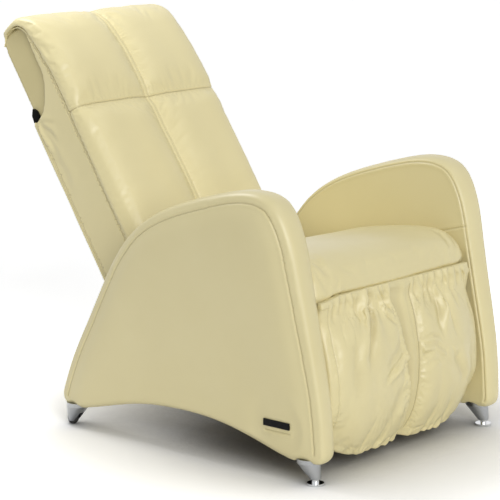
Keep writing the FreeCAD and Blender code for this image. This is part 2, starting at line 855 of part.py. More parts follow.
def make_mouth_lining():
    inner_n = rear_cover_inner_n - mouth_lining_depth
    return box(-head_inner, head_inner, inner_n, rear_cover_inner_n, mouth_lining_s,
               mouth_lining_s + mouth_lining_thickness)


def back_local(y, z):
    """A point of the side view in the back's own frame, as (n, s)."""
    a = math.radians(back_lean_deg)
    dy = y - back_hinge_y
    dz = z - back_hinge_z
    n = dy * math.cos(a) - dz * math.sin(a)
    s = dy * math.sin(a) + dz * math.cos(a)
    return n, s


def recline_pivot():
    a = math.radians(recline_lever_deg)
    return back_hinge_y + recline_lever * math.cos(a), back_hinge_z + recline_lever * math.sin(a)


def recline_lever_plates():
    """Two plates on the hinge tube with the pin that the actuator pulls."""
    n, s = back_local(*recline_pivot())
    half_gap = actuator_eye_width / 2 + actuator_eye_gap
    reach = actuator_eye_radius
    across_n = s / recline_lever * reach
    across_s = -n / recline_lever * reach
    outline = [(-across_n, -across_s), (across_n, across_s), (n + across_n, s + across_s),
               (n - across_n, s - across_s)]
    pieces = []
    for side in (-1, 1):
        x0 = -actuator_x + side * half_gap
        x1 = x0 + side * lug_thickness
        pieces.append(side_plate(outline, x0, x1))
        pieces.append(cyl_x(x0, x1, n, s, reach))
    span = half_gap + lug_thickness + actuator_pin_overhang
    pieces.append(cyl_x(-actuator_x - span, -actuator_x + span, n, s, actuator_pin_radius))
    return pieces


def make_back_frame():
    """Hinge tube, two uprights and the cross tubes that carry the massage drive."""
    w = frame_outer
    n0 = frame_tube_n
    n1 = frame_tube_n + frame_tube
    tube = cyl_x(-w, w, 0, 0, back_hinge_tube_radius)
    bore = cyl_x(-w, w, 0, 0, back_pin_radius + running_gap)
    pieces = recline_lever_plates()
    for side in (-1, 1):
        x0 = side * (w - frame_tube)
        x1 = side * w
        pieces.append(box(x0, x1, n0, n1, 0, frame_top_s))
        pieces.append(box(x0, x1, 0, n1, -back_hinge_tube_radius, back_hinge_tube_radius))
        for s in cover_bracket_heights:
            pieces.append(box(x1, side * cover_inner, n0, n1, s, s + cover_bracket_height))
        s = head_bracket_s
        pieces.append(box(x1, side * head_inner, n0, n1, s, s + cover_bracket_height))
    pieces.append(box(-w, w, n0, n0 + frame_top_depth, frame_top_s - frame_tube, frame_top_s))
    pieces.append(box(-w, w, n0, n0 + screw_cross_depth, screw_cross_s, screw_cross_s + screw_cross_height))
    frame = fuse_all(tube, *pieces).cut(bore)
    return frame.cut(cyl_z(screw_cross_s, frame_top_s, 0, screw_n, screw_journal_radius + running_gap))


def make_guide_rods():
    rods = []
    for side in (-1, 1):
        rods.append(cyl_z(screw_cross_s + screw_cross_height, frame_top_s - frame_tube, side * rod_x,
                          rod_n, rod_radius))
    return Part.makeCompound(rods)


def make_lead_screw():
    """The screw between its two journals."""
    low = screw_cross_s + screw_cross_height + screw_end_gap
    high = frame_top_s - frame_tube - screw_end_gap
    body = cyl_z(low, high, 0, screw_n, screw_radius)
    journals = cyl_z(screw_cross_s - screw_journal_low, frame_top_s - screw_journal_top_inset, 0,
                     screw_n, screw_journal_radius)
    return fuse_all(body, journals)


def make_screw_motor():
    can = cyl_z(screw_cross_s - screw_motor_length, screw_cross_s, 0, screw_n, screw_motor_radius)
    bore = cyl_z(screw_cross_s - screw_journal_low - pad_gap, screw_cross_s, 0, screw_n,
                 screw_journal_radius + running_gap)
    return can.cut(bore)


# Massage carriage

def make_carriage_frame():
    """Two sliding bushes, the cross plate, the nut block and the shaft cheeks."""
    c = carriage_s
    bush = rod_radius + bush_wall
    rear = carriage_plate_n
    tall = carriage_plate_half_height
    w = rod_x + bush + plate_overhang
    plate = box(-w, w, rear, rear + carriage_plate_thickness, c - tall, c + tall)
    pieces = [box(-nut_half_width, nut_half_width, nut_front_n, rear, c - nut_half_height, c + nut_half_height)]
    for side in (-1, 1):
        x = side * rod_x
        pieces.append(box(x - bush, x + bush, bush_front_n, rear, c - bush_half_height, c + bush_half_height))
        cheek = side * cheek_x
        pieces.append(box(cheek, cheek + side * cheek_thickness, kneading_shaft_n - cheek_front_reach, rear,
                          c - cheek_half_height, c + cheek_half_height))
    carriage = fuse_all(plate, *pieces)
    for side in (-1, 1):
        carriage = carriage.cut(cyl_z(c - tall, c + tall, side * rod_x, rod_n, rod_radius + running_gap))
    carriage = carriage.cut(cyl_z(c - tall, c + tall, 0, screw_n, screw_radius + running_gap))
    reach = cheek_x + cheek_thickness
    return carriage.cut(cyl_x(-reach, reach, kneading_shaft_n, c, kneading_shaft_radius + running_gap))


def make_kneading_motor():
    """Gearbox round the kneading shaft with its motor below."""
    c = carriage_s
    x0 = gearbox_x
    x1 = gearbox_x + gearbox_width
    low = c - gearbox_below
    gearbox = box(x0, x1, kneading_shaft_n - gearbox_front_reach, carriage_plate_n, low, c + gearbox_above)
    motor = cyl_z(low - kneading_motor_length, low, (x0 + x1) / 2, kneading_motor_n, kneading_motor_radius)
    bore = cyl_x(x0, x1, kneading_shaft_n, c, kneading_shaft_radius + running_gap)
    return fuse_all(gearbox, motor).cut(bore)


def make_kneading_shaft():
    """The shaft with a collar outside each cheek."""
    c = carriage_s
    half = cheek_x + cheek_thickness + kneading_shaft_overhang
    pieces = []
    for side in (-1, 1):
        x = side * (cheek_x + cheek_thickness + shaft_collar_gap)
        pieces.append(cyl_x(x, x + side * shaft_collar_width, kneading_shaft_n, c,
                            kneading_shaft_radius + shaft_collar_wall))
    return fuse_all(cyl_x(-half, half, kneading_shaft_n, c, kneading_shaft_radius), *pieces)


def make_massage_arm():
    """The left two-armed lever on the shaft with an axle at each end."""
    c = carriage_s
    x0 = massage_plate_x
    x1 = x0 + arm_plate_thickness
    hub_radius = kneading_shaft_radius + arm_hub_wall
    hub = cyl_x(x0, x0 + arm_hub_width, kneading_shaft_n, c, hub_radius)
    pieces = []
    for up in (-1, 1):
        s = c + up * roller_reach
        bar = [(kneading_shaft_n - arm_tip_radius, c), (kneading_shaft_n + arm_tip_radius, c),
               (roller_n + arm_tip_radius, s), (roller_n - arm_tip_radius, s)]
        pieces.append(side_plate(bar, x0, x1))
        pieces.append(cyl_x(x0, x1, roller_n, s, arm_tip_radius))
        pieces.append(cyl_x(roller_x - roller_width / 2 - roller_axle_overhang, x1, roller_n, s,
                            roller_axle_radius))
    lever = fuse_all(hub, *pieces)
    return lever.cut(cyl_x(x0, x0 + arm_hub_width, kneading_shaft_n, c, kneading_shaft_radius + running_gap))


def make_roller(up):
    s = carriage_s + up * roller_reach
    half = roller_width / 2
    roller = cyl_x(roller_x - half, roller_x + half, roller_n, s, roller_radius)
    roller = roller.makeFillet(roller_round, round_edges(roller))
    return roller.cut(cyl_x(roller_x - half, roller_x + half, roller_n, s, roller_axle_radius + running_gap))


# Leg rest

def legrest_section(z, front_y, fold, full):
    """Level outline of the stuffed cover: a flat strip between two folded halves."""
    half = legrest_half_width
    strip = legrest_strip_half_width
    knots = []
    for i in range(legrest_fold_count + 1):
        across = i / legrest_fold_count
        back = legrest_middle_dip * (1 - across) + legrest_side_round * across ** 4
        knots.append(V(strip + across * (half - strip), front_y + full * back, z))
    left_arcs = []
    for a, b in zip(knots[:-1], knots[1:]):
        left_arcs.append((a, (a + b) * 0.5 + V(0, -fold, 0), b))
    first = knots[0]
    last = knots[-1]
    strip_mid = V(0, first.y + legrest_strip_recess * full, z)
    edges = [Part.Arc(V(-strip, first.y, z), strip_mid, first).toShape()]
    for a, middle, b in left_arcs:
        edges.append(Part.Arc(a, middle, b).toShape())
    back_left = V(half, legrest_pad_back_y, z)
    back_right = V(-half, legrest_pad_back_y, z)
    edges.append(Part.makeLine(last, back_left))
    edges.append(Part.makeLine(back_left, back_right))
    edges.append(Part.makeLine(back_right, V(-last.x, last.y, z)))
    for arc in reversed(left_arcs):
        flipped = [V(-p.x, p.y, p.z) for p in reversed(arc)]
        edges.append(Part.Arc(*flipped).toShape())
    return Part.Wire(edges)


def make_legrest_pad():
    """The stuffed cover with the roll that turns under the seat's front edge."""
    y = legrest_hinge_y
    z = legrest_hinge_z
    r = legrest_roll_radius
    w = legrest_half_width
    height = legrest_shoulder_z - legrest_bottom_z
    sections = []
    for share, before, fold in legrest_levels:
        sections.append(legrest_section(legrest_bottom_z + share * height, y - before, fold, 1.0))
    body = Part.makeLoft(sections, True, False)
    sections = [legrest_section(z - below, y - before, fold, full)
                for below, before, fold, full in legrest_top_levels]
    top = Part.makeLoft(sections, True, True)
    pad = fuse_all(body, top, cyl_x(-w, w, y, z, r))
    rear = legrest_pad_back_y
    pad = pad.cut(box(-w, w, y + r, rear, legrest_shoulder_z, z + r))
    pad = pad.cut(cyl_x(-w, w, y, z, legrest_tube_radius + soft_gap))
    inner = legrest_neck_half_width
    for side in (-1, 1):
        behind_knuckle = box(side * inner, side * w, y - legrest_knuckle_radius / 2, rear,
                             legrest_shoulder_z, z + r)
        knuckle_room = cyl_x(side * inner, side * w, y, z, legrest_knuckle_radius + swing_gap)
        pad = pad.cut(behind_knuckle).cut(knuckle_room)
        x = side * legrest_plate_x
        half = legrest_plate_thickness / 2 + soft_gap
        slot = box(x - half, x + half, y, rear, legrest_shoulder_z - legrest_shoulder_drop, z + r)
        boss_room = cyl_x(x - half, x + half, y, z, legrest_boss_radius + soft_gap)
        pad = pad.cut(slot).cut(boss_room)
    half = legrest_pocket_width / 2
    x = actuator_x
    pocket = box(x - half, x + half, y - legrest_pocket_before_hinge, rear,
                 legrest_pocket_bottom_z, z + r)
    lug_room = cyl_x(x - half, x + half, y, z, legrest_lug_radius + soft_gap)
    return pad.cut(pocket).cut(lug_room)


def make_legrest_board():
    w = legrest_half_width - legrest_board_inset
    board = box(-w, w, legrest_pad_back_y, legrest_board_back_y, legrest_bottom_z + legrest_board_inset,
                legrest_shoulder_z - legrest_board_top_gap)
    half = legrest_pocket_width / 2
    notch = box(actuator_x - half, actuator_x + half, legrest_pad_back_y, legrest_board_back_y,
                legrest_pocket_bottom_z, legrest_shoulder_z)
    return board.cut(notch)


def legrest_pivot():
    a = math.radians(legrest_lever_deg)
    y = legrest_hinge_y + legrest_lever * math.cos(a)
    z = legrest_hinge_z + legrest_lever * math.sin(a)
    return y, z


def make_legrest_frame():
    """Hinge tube, two bent plates behind the board and the lug for the actuator."""
    w = legrest_neck_half_width - legrest_tube_end_gap
    y = legrest_hinge_y
    z = legrest_hinge_z
    back = legrest_board_back_y
    rear = back + legrest_plate_depth
    shoulder = legrest_shoulder_z - legrest_board_top_gap
    plate = [(y, z - legrest_lug_radius), (y, z), (y + legrest_lug_radius, z), (rear, legrest_shoulder_z),
             (rear, legrest_bottom_z + legrest_plate_end), (back, legrest_bottom_z + legrest_plate_end),
             (back, shoulder), (legrest_pad_back_y, shoulder)]
    pieces = []
    half = legrest_plate_thickness / 2
    for side in (-1, 1):
        x = side * legrest_plate_x
        pieces.append(cyl_x(x - half, x + half, y, z, legrest_boss_radius))
        pieces.append(side_plate(plate, x - half, x + half))
    pivot_y, pivot_z = legrest_pivot()
    tip = legrest_lug_tip_radius
    web = [(y - tip, z), (y + tip, z), (pivot_y + tip, pivot_z), (pivot_y - tip, pivot_z)]
    half_gap = actuator_eye_width / 2 + actuator_eye_gap
    for side in (-1, 1):
        x0 = actuator_x + side * half_gap
        x1 = x0 + side * lug_thickness
        pieces.append(cyl_x(x0, x1, y, z, legrest_lug_radius))
        pieces.append(cyl_x(x0, x1, pivot_y, pivot_z, tip))
        pieces.append(side_plate(web, x0, x1))
    span = half_gap + lug_thickness
    pieces.append(cyl_x(actuator_x - span, actuator_x + span, pivot_y, pivot_z, actuator_pin_radius))
    tube = cyl_x(-w, w, y, z, legrest_tube_radius)
    return fuse_all(tube, *pieces).cut(cyl_x(-w, w, y, z, legrest_pin_radius + running_gap))


# Actuators

def along(start, end):
    """Unit direction and length of the line between two (y, z) points."""
    dy = end[0] - start[0]
    dz = end[1] - start[1]
    length = math.hypot(dy, dz)
    return dy / length, dz / length, length


def point_on(start, end, distance):
    dy, dz, length = along(start, end)
    return start[0] + dy * distance, start[1] + dz * distance


def rod_between(x, start, end, near, far, radius):
    """A round bar on the line from start to end, between two distances from start."""
    dy, dz, length = along(start, end)
    y, z = point_on(start, end, near)
    return Part.makeCylinder(radius, far - near, V(x, y, z), V(0, dy, dz))


def make_actuator_body(x, base, tip):
    """Fixed half of an actuator: eye, gear head with its motor, and outer tube."""
    half = actuator_eye_width / 2
    eye = cyl_x(x - half, x + half, base[0], base[1], actuator_eye_radius)
    neck = rod_between(x, base, tip, 0.0, actuator_motor_start, half)
    head = rod_between(x, base, tip, actuator_motor_start, actuator_motor_end, actuator_motor_radius)
    tube = rod_between(x, base, tip, actuator_motor_end, actuator_tube_length, actuator_tube_radius)
    body = fuse_all(eye, neck, head, tube)
    bore = rod_between(x, base, tip, actuator_bore_start, actuator_tube_length,
                       actuator_rod_radius + running_gap)
    pin_hole = cyl_x(x - half, x + half, base[0], base[1], actuator_pin_radius + running_gap)
    return body.cut(pin_hole).cut(bore)


def make_actuator_rod(x, base, tip, rod_start, slot):
    """Moving rod with an eye whose slot leaves the open pivot its play."""
    dy, dz, length = along(base, tip)

    def beside(along_rod, across):
        return tip[0] + dy * along_rod - dz * across, tip[1] + dz * along_rod + dy * across

    half = actuator_eye_width / 2
    wide = (actuator_eye_radius + slot) * rod_eye_share
    near = -rod_eye_neck - rod_eye_overlap
    far = actuator_eye_radius
    rod = rod_between(x, base, tip, rod_start, length - rod_eye_neck, actuator_rod_radius)
    eye = side_plate([beside(near, -wide), beside(far, -wide), beside(far, wide), beside(near, wide)],
                     x - half, x + half)
    rod = rod.fuse(eye)
    slot_radius = actuator_pin_radius + rod_slot_play
    end = slot - rod_slot_play
    for side in (-1, 1):
        y, z = beside(0.0, side * end)
        rod = rod.cut(cyl_x(x - half, x + half, y, z, slot_radius))
    window = [beside(-slot_radius, -end), beside(slot_radius, -end), beside(slot_radius, end),
              beside(-slot_radius, end)]
    return rod.cut(side_plate(window, x - half, x + half)).removeSplitter()


# Power box

def box_window(x, width, height):
    return box(x - width / 2, x + width / 2, box_rear_y - box_wall, box_rear_y,
               box_mid_z - height / 2, box_mid_z + height / 2)


def make_power_box():
    """Hollow box on the rear beam with a window each for the inlet, switch and socket."""
    wall = box_wall
    x1 = box_inner_x + box_width
    front_y = box_rear_y - box_depth
    body = box(box_inner_x, x1, front_y, box_rear_y, beam_top, beam_top + box_height)
    inside = box(box_inner_x + wall, x1 - wall, front_y + wall, box_rear_y - wall,
                 beam_top + wall, beam_top + box_height - wall)
    body = body.cut(inside).cut(box_window(inlet_x, inlet_width, inlet_height))
    body = body.cut(box_window(switch_x, switch_width, switch_height))
    body = body.cut(cyl_y(box_rear_y - wall, box_rear_y, socket_x, box_mid_z, socket_radius))
    pivot_y = box_rear_y - switch_pivot_depth
    reach = switch_ear_reach
    for side in (-1, 1):
        edge = switch_x + side * switch_width / 2
        ear = box(edge, edge + side * switch_ear_thickness, pivot_y - reach, box_rear_y - wall,
                  box_mid_z - reach, box_mid_z + reach)
        body = body.fuse(ear)
    ear_end = switch_width / 2 + switch_ear_thickness
    stub_hole = cyl_x(switch_x - ear_end, switch_x + ear_end, pivot_y, box_mid_z,
                      switch_stub_radius + running_gap)
    return body.cut(stub_hole).removeSplitter()


def make_power_inlet():
    """The mains socket: a flange, a recess and three blades."""
    half_w = inlet_width / 2
    half_h = inlet_height / 2
    body = box(inlet_x - half_w + hole_gap, inlet_x + half_w - hole_gap, box_rear_y - inlet_depth, box_rear_y,
               box_mid_z - half_h + hole_gap, box_mid_z + half_h - hole_gap)
    face_y = box_rear_y + inlet_flange_thickness
    flange = box(inlet_x - half_w - inlet_flange, inlet_x + half_w + inlet_flange, box_rear_y, face_y,
                 box_mid_z - half_h - inlet_flange, box_mid_z + half_h + inlet_flange)
    recess = box(inlet_x - half_w + inlet_wall, inlet_x + half_w - inlet_wall, box_rear_y - inlet_recess,
                 face_y, box_mid_z - half_h + inlet_wall, box_mid_z + half_h - inlet_wall)
    inlet = fuse_all(body, flange).cut(recess)
    blades = []
    for dx, dz in inlet_blades:
        x = inlet_x + dx
        z = box_mid_z + dz
        blades.append(box(x - inlet_blade_width / 2, x + inlet_blade_width / 2, box_rear_y - inlet_recess - 1,
                          box_rear_y - inlet_blade_depth, z - inlet_blade_height / 2, z + inlet_blade_height / 2))
    return fuse_all(inlet, *blades)


def make_power_switch():
    """Rocker with a shallow V face on two pivot stubs, its upper half pressed in."""
    half_x = switch_width / 2 - switch_side_gap
    half_z = switch_height / 2 - switch_end_gap
    y = box_rear_y - switch_pivot_depth
    outline = [(y + depth, box_mid_z + share * half_z) for depth, share in switch_face]
    rocker = side_plate(outline, switch_x - half_x, switch_x + half_x)
    reach = half_x + switch_stub_length
    stubs = cyl_x(switch_x - reach, switch_x + reach, y, box_mid_z, switch_stub_radius)
    rocker = fuse_all(rocker, stubs)
    rocker.rotate(V(switch_x, y, box_mid_z), V(1, 0, 0), switch_travel_deg / 2)
    return rocker


def make_handset_socket():
    body = cyl_y(box_rear_y - socket_depth, box_rear_y, socket_x, box_mid_z, socket_radius - hole_gap)
    face_y = box_rear_y + socket_flange_thickness
    flange = cyl_y(box_rear_y, face_y, socket_x, box_mid_z, socket_radius + socket_flange)
    hole = cyl_y(box_rear_y - socket_hole_depth, face_y, socket_x, box_mid_z, socket_radius - socket_wall)
    return fuse_all(body, flange).cut(hole)


def make_side_plate():
    """The blank plate on the right arm, let a little way into the stuffing."""
    half_l = plate_length / 2
    half_h = plate_height / 2
    x = -arm_outer_x(plate_z)
    return box(x - plate_proud, x + plate_sunk, plate_y - half_l, plate_y + half_l,
               plate_z - half_h, plate_z + half_h)


# Assembly

def add_pair(name, shape, place=None):
    """Add the left piece and its mirror image, each moved by place if one is given."""
    for word, piece in (("left", shape), ("right", mirror_x(shape))):
        shapes[name + "_" + word] = place(piece) if place else piece


def build_base():
    front_leg = make_front_leg()
    rear_leg = make_rear_leg()
    plate = make_side_plate()
    core = make_arm_core()
    pad = make_arm_pad().cut(core)
    clear_holes = bolt_holes(arm_inner, bolt_tip_x(), bolt_radius + hole_gap)
    for cutter in [front_leg, rear_leg] + clear_holes:
        pad = pad.cut(cutter)
        core = core.cut(cutter)
    shapes["arm_pad_left"] = pad
    shapes["arm_pad_right"] = mirror_x(pad).cut(plate)
    shapes["side_plate"] = plate
    add_pair("arm_core", core)
    add_pair("front_leg", front_leg)
    add_pair("front_glide", make_front_glide())
    add_pair("rear_leg", rear_leg)
    add_pair("rear_wheel", make_rear_wheel())
    add_pair("back_hinge_bracket", make_back_hinge_bracket())
    axle = make_wheel_axle()
    shapes["wheel_axles"] = Part.makeCompound([axle, mirror_x(axle)])
    shapes["frame_bolts"] = make_frame_bolts()
    shapes["front_beam"] = make_front_beam()
    shapes["rear_beam"] = make_rear_beam()
    shapes["seat_frame"] = make_seat_frame()
    shapes["seat_board"] = make_seat_board()
    shapes["seat_cushion"] = make_seat_cushion()
    shapes["legrest_hinge_pins"] = make_legrest_pins()
    shapes["power_box"] = make_power_box()
    shapes["power_inlet"] = make_power_inlet()
    shapes["power_switch"] = make_power_switch()
    shapes["handset_socket"] = make_handset_socket()


def build_back():
    add_pair("back_side_cover", make_side_cover(), leaned)
    add_pair("head_side_panel", make_head_panel(), leaned)
    add_pair("massage_arm", make_massage_arm(), leaned)
    add_pair("roller_upper", make_roller(1), leaned)
    add_pair("roller_lower", make_roller(-1), leaned)
    singles = {"back_pad": make_back_pad(), "head_shell": make_head_shell(),
               "rear_cover": make_rear_cover(), "mouth_lining": make_mouth_lining(),
               "back_frame": make_back_frame(), "guide_rods": make_guide_rods(),
               "lead_screw": make_lead_screw(), "screw_motor": make_screw_motor(),
               "carriage_frame": make_carriage_frame(), "kneading_motor": make_kneading_motor(),
               "kneading_shaft": make_kneading_shaft()}
    for name, shape in singles.items():
        shapes[name] = leaned(shape)


def build_leg_rest():
    shapes["legrest_pad"] = make_legrest_pad()
    shapes["legrest_board"] = make_legrest_board()
    shapes["legrest_frame"] = make_legrest_frame()


def build_actuators():
    tip = recline_pivot()
    shapes["recline_actuator"] = make_actuator_body(-actuator_x, recline_base, tip)
    shapes["recline_rod"] = make_actuator_rod(-actuator_x, recline_base, tip, recline_rod_start,
                                              recline_open_slot)
    tip = legrest_pivot()
    shapes["legrest_actuator"] = make_actuator_body(actuator_x, legrest_base, tip)
    shapes["legrest_rod"] = make_actuator_rod(actuator_x, legrest_base, tip, legrest_rod_start,
                                              legrest_open_slot)


def build_all():
    """Build every piece and return the shift that centres the chair on y = 0."""
    build_base()
    build_back()
    build_leg_rest()
    build_actuators()
    whole = Part.makeCompound(list(shapes.values())).BoundBox
    return -(whole.YMin + whole.YMax) / 2


depth_shift = build_all()
for name, shape in shapes.items():
    moved = shape.copy()
    moved.translate(V(0, depth_shift, 0))
    shapes[name] = moved
    moved.exportStep("parts/" + name + ".step")
    print(name, "valid", moved.isValid(), "solids", len(moved.Solids), "volume", round(moved.Volume))
print("depth shift", round(depth_shift, 3))
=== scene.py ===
# %% [markdown]
# # A home massage chair in cream leather
#
# The chair is already built as a frame: every steel tube, motor, roller, foot and
# cushion has its place and its joints. This lesson dresses that frame. The leather
# covers are the main work, because leather shows how it was cut, sewn and stuffed.
# The metal, rubber and plastic parts keep their shapes and only get a finish.

import math

import bmesh
import bpy
import numpy as np
from mathutils import Matrix, Vector
from mathutils.bvhtree import BVHTree
from mathutils.kdtree import KDTree
from mathutils.noise import noise


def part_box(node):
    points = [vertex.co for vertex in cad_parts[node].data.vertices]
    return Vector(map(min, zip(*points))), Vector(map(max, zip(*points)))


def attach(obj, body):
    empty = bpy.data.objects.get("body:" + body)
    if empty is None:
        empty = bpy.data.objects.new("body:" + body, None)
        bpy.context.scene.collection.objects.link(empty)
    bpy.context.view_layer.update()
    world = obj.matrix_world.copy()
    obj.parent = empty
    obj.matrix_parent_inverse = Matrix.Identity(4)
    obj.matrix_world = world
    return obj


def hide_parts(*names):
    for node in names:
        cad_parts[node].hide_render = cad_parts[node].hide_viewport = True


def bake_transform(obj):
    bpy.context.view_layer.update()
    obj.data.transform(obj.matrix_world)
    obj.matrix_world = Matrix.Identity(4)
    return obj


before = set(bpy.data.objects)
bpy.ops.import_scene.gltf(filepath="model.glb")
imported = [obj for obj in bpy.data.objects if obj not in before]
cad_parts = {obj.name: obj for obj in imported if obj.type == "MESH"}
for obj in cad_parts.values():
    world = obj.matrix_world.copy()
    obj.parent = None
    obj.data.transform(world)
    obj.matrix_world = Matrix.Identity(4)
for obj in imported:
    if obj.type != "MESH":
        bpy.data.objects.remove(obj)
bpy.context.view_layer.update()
scene = bpy.context.scene
mm = 0.001

# %% [markdown]
# ## Measuring from the front feet
#
# Upholsterers measure a chair from its feet. The same is done here: places are given
# in millimetres, with y = 0 at the middle of the front glides. The back leans, so its
# own pieces are easier to give along it: n is the depth through the back and s the
# distance up it from the hinge.

# %% Places on the chair
glide_low, glide_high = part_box("front_glide_left")
front_feet_y = (glide_low.y + glide_high.y) / 2
back_lean = math.radians(33.2)
back_hinge_y = 600.0
back_hinge_z = 345.0


def place(x, y, z):
    return Vector((x * mm, y * mm + front_feet_y, z * mm))


def on_back(x, n, s):
    y = back_hinge_y + n * math.cos(back_lean) + s * math.sin(back_lean)
    z = back_hinge_z - n * math.sin(back_lean) + s * math.cos(back_lean)
    return place(x, y, z)


def back_depth(point):
    """Depth n and distance s of a point, in the back's own frame, in millimetres."""
    y = (point[1] - front_feet_y) / mm - back_hinge_y
    z = point[2] / mm - back_hinge_z
    n = y * math.cos(back_lean) - z * math.sin(back_lean)
    s = y * math.sin(back_lean) + z * math.cos(back_lean)
    return n, s


print("front feet at y", round(front_feet_y, 4))

# %% [markdown]
# ## Camera
#
# A catalogue photograph of furniture is taken from far off with a long lens, so that
# the chair isn't distorted. The camera stands about five metres away, a little above
# the arms, and sees the chair's right side and its front.

# %% Camera
camera_azimuth = math.radians(-48.86)
camera_height_angle = math.radians(11.31)
camera_roll = math.radians(-0.11)
camera_place = (-4071.0, -3069.3, 1515.0)
# The lens in widths of the picture, and how far the camera sees in metres
focal_share = 2201 / 500
sensor = 36.0
far_end = 60.0

towards_camera = Vector((math.sin(camera_azimuth) * math.cos(camera_height_angle),
                         -math.cos(camera_azimuth) * math.cos(camera_height_angle),
                         math.sin(camera_height_angle)))
level_right = Vector((math.cos(camera_azimuth), math.sin(camera_azimuth), 0))
level_up = towards_camera.cross(level_right)
camera_right = level_right * math.cos(camera_roll) + level_up * math.sin(camera_roll)
camera_up = level_up * math.cos(camera_roll) - level_right * math.sin(camera_roll)
turn = Matrix((camera_right, camera_up, towards_camera)).transposed()

camera_data = bpy.data.cameras.new("camera")
camera_data.sensor_width = sensor
camera_data.lens = focal_share * sensor
camera_data.clip_end = far_end
camera = bpy.data.objects.new("camera", camera_data)
camera.matrix_world = Matrix.Translation(place(*camera_place)) @ turn.to_4x4()
scene.collection.objects.link(camera)
scene.camera = camera
print("lens", round(camera_data.lens, 1), "mm")

# %% [markdown]
# ## Materials
#
# A finish is a shader with a few textures behind it. Colours are written as the hex
# values that a paint chart gives, and one function turns them into the linear values
# that light needs. One more function adds a node, sets it and joins it, so that each
# material reads as a short recipe.

# %% Helpers for materials
def linear(hex_colour):
    channels = [int(hex_colour[i:i + 2], 16) / 255 for i in (0, 2, 4)]
    return tuple(c / 12.92 if c <= 0.04045 else ((c + 0.055) / 1.055) ** 2.4
                 for c in channels) + (1.0,)


def add(tree, kind, values=None, joins=None, **settings):
    """Adds a node: settings are its own options, values fill sockets, joins link them."""
    node = tree.nodes.new(kind)
    for name, value in settings.items():
        setattr(node, name, value)
    for name, value in (values or {}).items():
        node.inputs[name].default_value = value
    for name, source in (joins or {}).items():
        tree.links.new(source, node.inputs[name])
    return node


def new_material(name):
    """An empty material with its shader and output already joined."""
    material = bpy.data.materials.new(name)
    material.use_nodes = True
    tree = material.node_tree
    tree.nodes.clear()
    shader = add(tree, "ShaderNodeBsdfPrincipled")
    add(tree, "ShaderNodeOutputMaterial", joins={"Surface": shader.outputs["BSDF"]})
    place_of = add(tree, "ShaderNodeTexCoord").outputs["Object"]
    return material, tree, shader, place_of


def two_tone(tree, factor, first, second):
    """Mixes two colours by a factor."""
    mix = add(tree, "ShaderNodeMix", joins={"Factor": factor}, data_type="RGBA")
    mix.inputs["A"].default_value = linear(first)
    mix.inputs["B"].default_value = linear(second)
    return mix.outputs["Result"]


# %% [markdown]
# ### Upholstery leather
#
# The cover is corrected-grain cowhide with a pigmented cream finish. Three things tell
# the eye that it is leather and not paint: the colour drifts slightly from hide to
# hide, the surface has pebbles about a millimetre across with finer creases between
# them, and its soft gloss is broken by that grain. Shade is painted into the seams and
# fold valleys: each cover carries a value, seam_shade, that is 1 in the bottom of a seam,
# and there the leather's colour is mixed towards a dark tone.

# %% Leather
pebble_size = 1.3 * mm
crease_size = 5.0 * mm
hide_patch = 160.0 * mm
grain_depth = 0.12 * mm
# The clear top coat over the pigment: its optics, how much of it shows, how sharp it mirrors
topcoat_ior = 1.48
topcoat_weight = 0.28
topcoat_roughness = 0.30


def leather(name, light, dark, shade, gloss):
    material, tree, shader, where = new_material(name)
    patch = add(tree, "ShaderNodeTexNoise", {"Scale": 1 / hide_patch, "Detail": 3.0},
                {"Vector": where}).outputs["Fac"]
    cream = two_tone(tree, patch, light, dark)
    # seam_shade mixes the colour towards the dark tone: painted shade in seams and folds
    seam = add(tree, "ShaderNodeAttribute", attribute_name="seam_shade").outputs["Fac"]
    coloured = add(tree, "ShaderNodeMix", joins={"Factor": seam, "A": cream}, data_type="RGBA")
    coloured.inputs["B"].default_value = linear(shade)
    tree.links.new(coloured.outputs["Result"], shader.inputs["Base Color"])
    pebbles = add(tree, "ShaderNodeTexVoronoi", {"Scale": 1 / pebble_size}, {"Vector": where},
                  feature="DISTANCE_TO_EDGE").outputs["Distance"]
    creases = add(tree, "ShaderNodeTexNoise", {"Scale": 1 / crease_size, "Detail": 6.0, "Roughness": 0.65},
                  {"Vector": where}).outputs["Fac"]
    grain = add(tree, "ShaderNodeMath", joins={0: pebbles, 1: creases}, operation="ADD").outputs[0]
    bump = add(tree, "ShaderNodeBump", {"Strength": 0.35, "Distance": grain_depth}, {"Height": grain})
    tree.links.new(bump.outputs["Normal"], shader.inputs["Normal"])
    rough = add(tree, "ShaderNodeMapRange", {"To Min": gloss - 0.05, "To Max": gloss + 0.08},
                {"Value": creases}).outputs["Result"]
    tree.links.new(rough, shader.inputs["Roughness"])
    shader.inputs["IOR"].default_value = topcoat_ior
    shader.inputs["Coat Weight"].default_value = topcoat_weight
    shader.inputs["Coat Roughness"].default_value = topcoat_roughness
    return material


cream_leather = leather("pigmented_cowhide", "DFD4A5", "D9CD9B", "85764A", 0.40)
# The head panels' leather is the cream leather darkened as painted shade for their recess, and less glossy
painted_shade_leather = leather("matt_cowhide_painted_shade", "CCC08F", "C3B785", "7A6C40", 0.56)

# %% [markdown]
# ### Thread
#
# Upholstery seams are sewn with bonded polyester thread, three plies twisted together,
# a shade lighter than the hide. Up close the twist shows as slanting ridges.

# %% Thread
twist_size = 1.2 * mm


def bonded_thread():
    material, tree, shader, where = new_material("bonded_polyester_thread")
    twist = add(tree, "ShaderNodeTexWave", {"Scale": 1 / twist_size, "Distortion": 0.4},
                {"Vector": where}, bands_direction="DIAGONAL")
    bump = add(tree, "ShaderNodeBump", {"Strength": 0.5, "Distance": 0.1 * mm},
               {"Height": twist.outputs["Fac"]})
    tree.links.new(bump.outputs["Normal"], shader.inputs["Normal"])
    tree.links.new(two_tone(tree, twist.outputs["Fac"], "D8CC98", "E6DCB0"), shader.inputs["Base Color"])
    shader.inputs["Roughness"].default_value = 0.5
    return material


thread = bonded_thread()

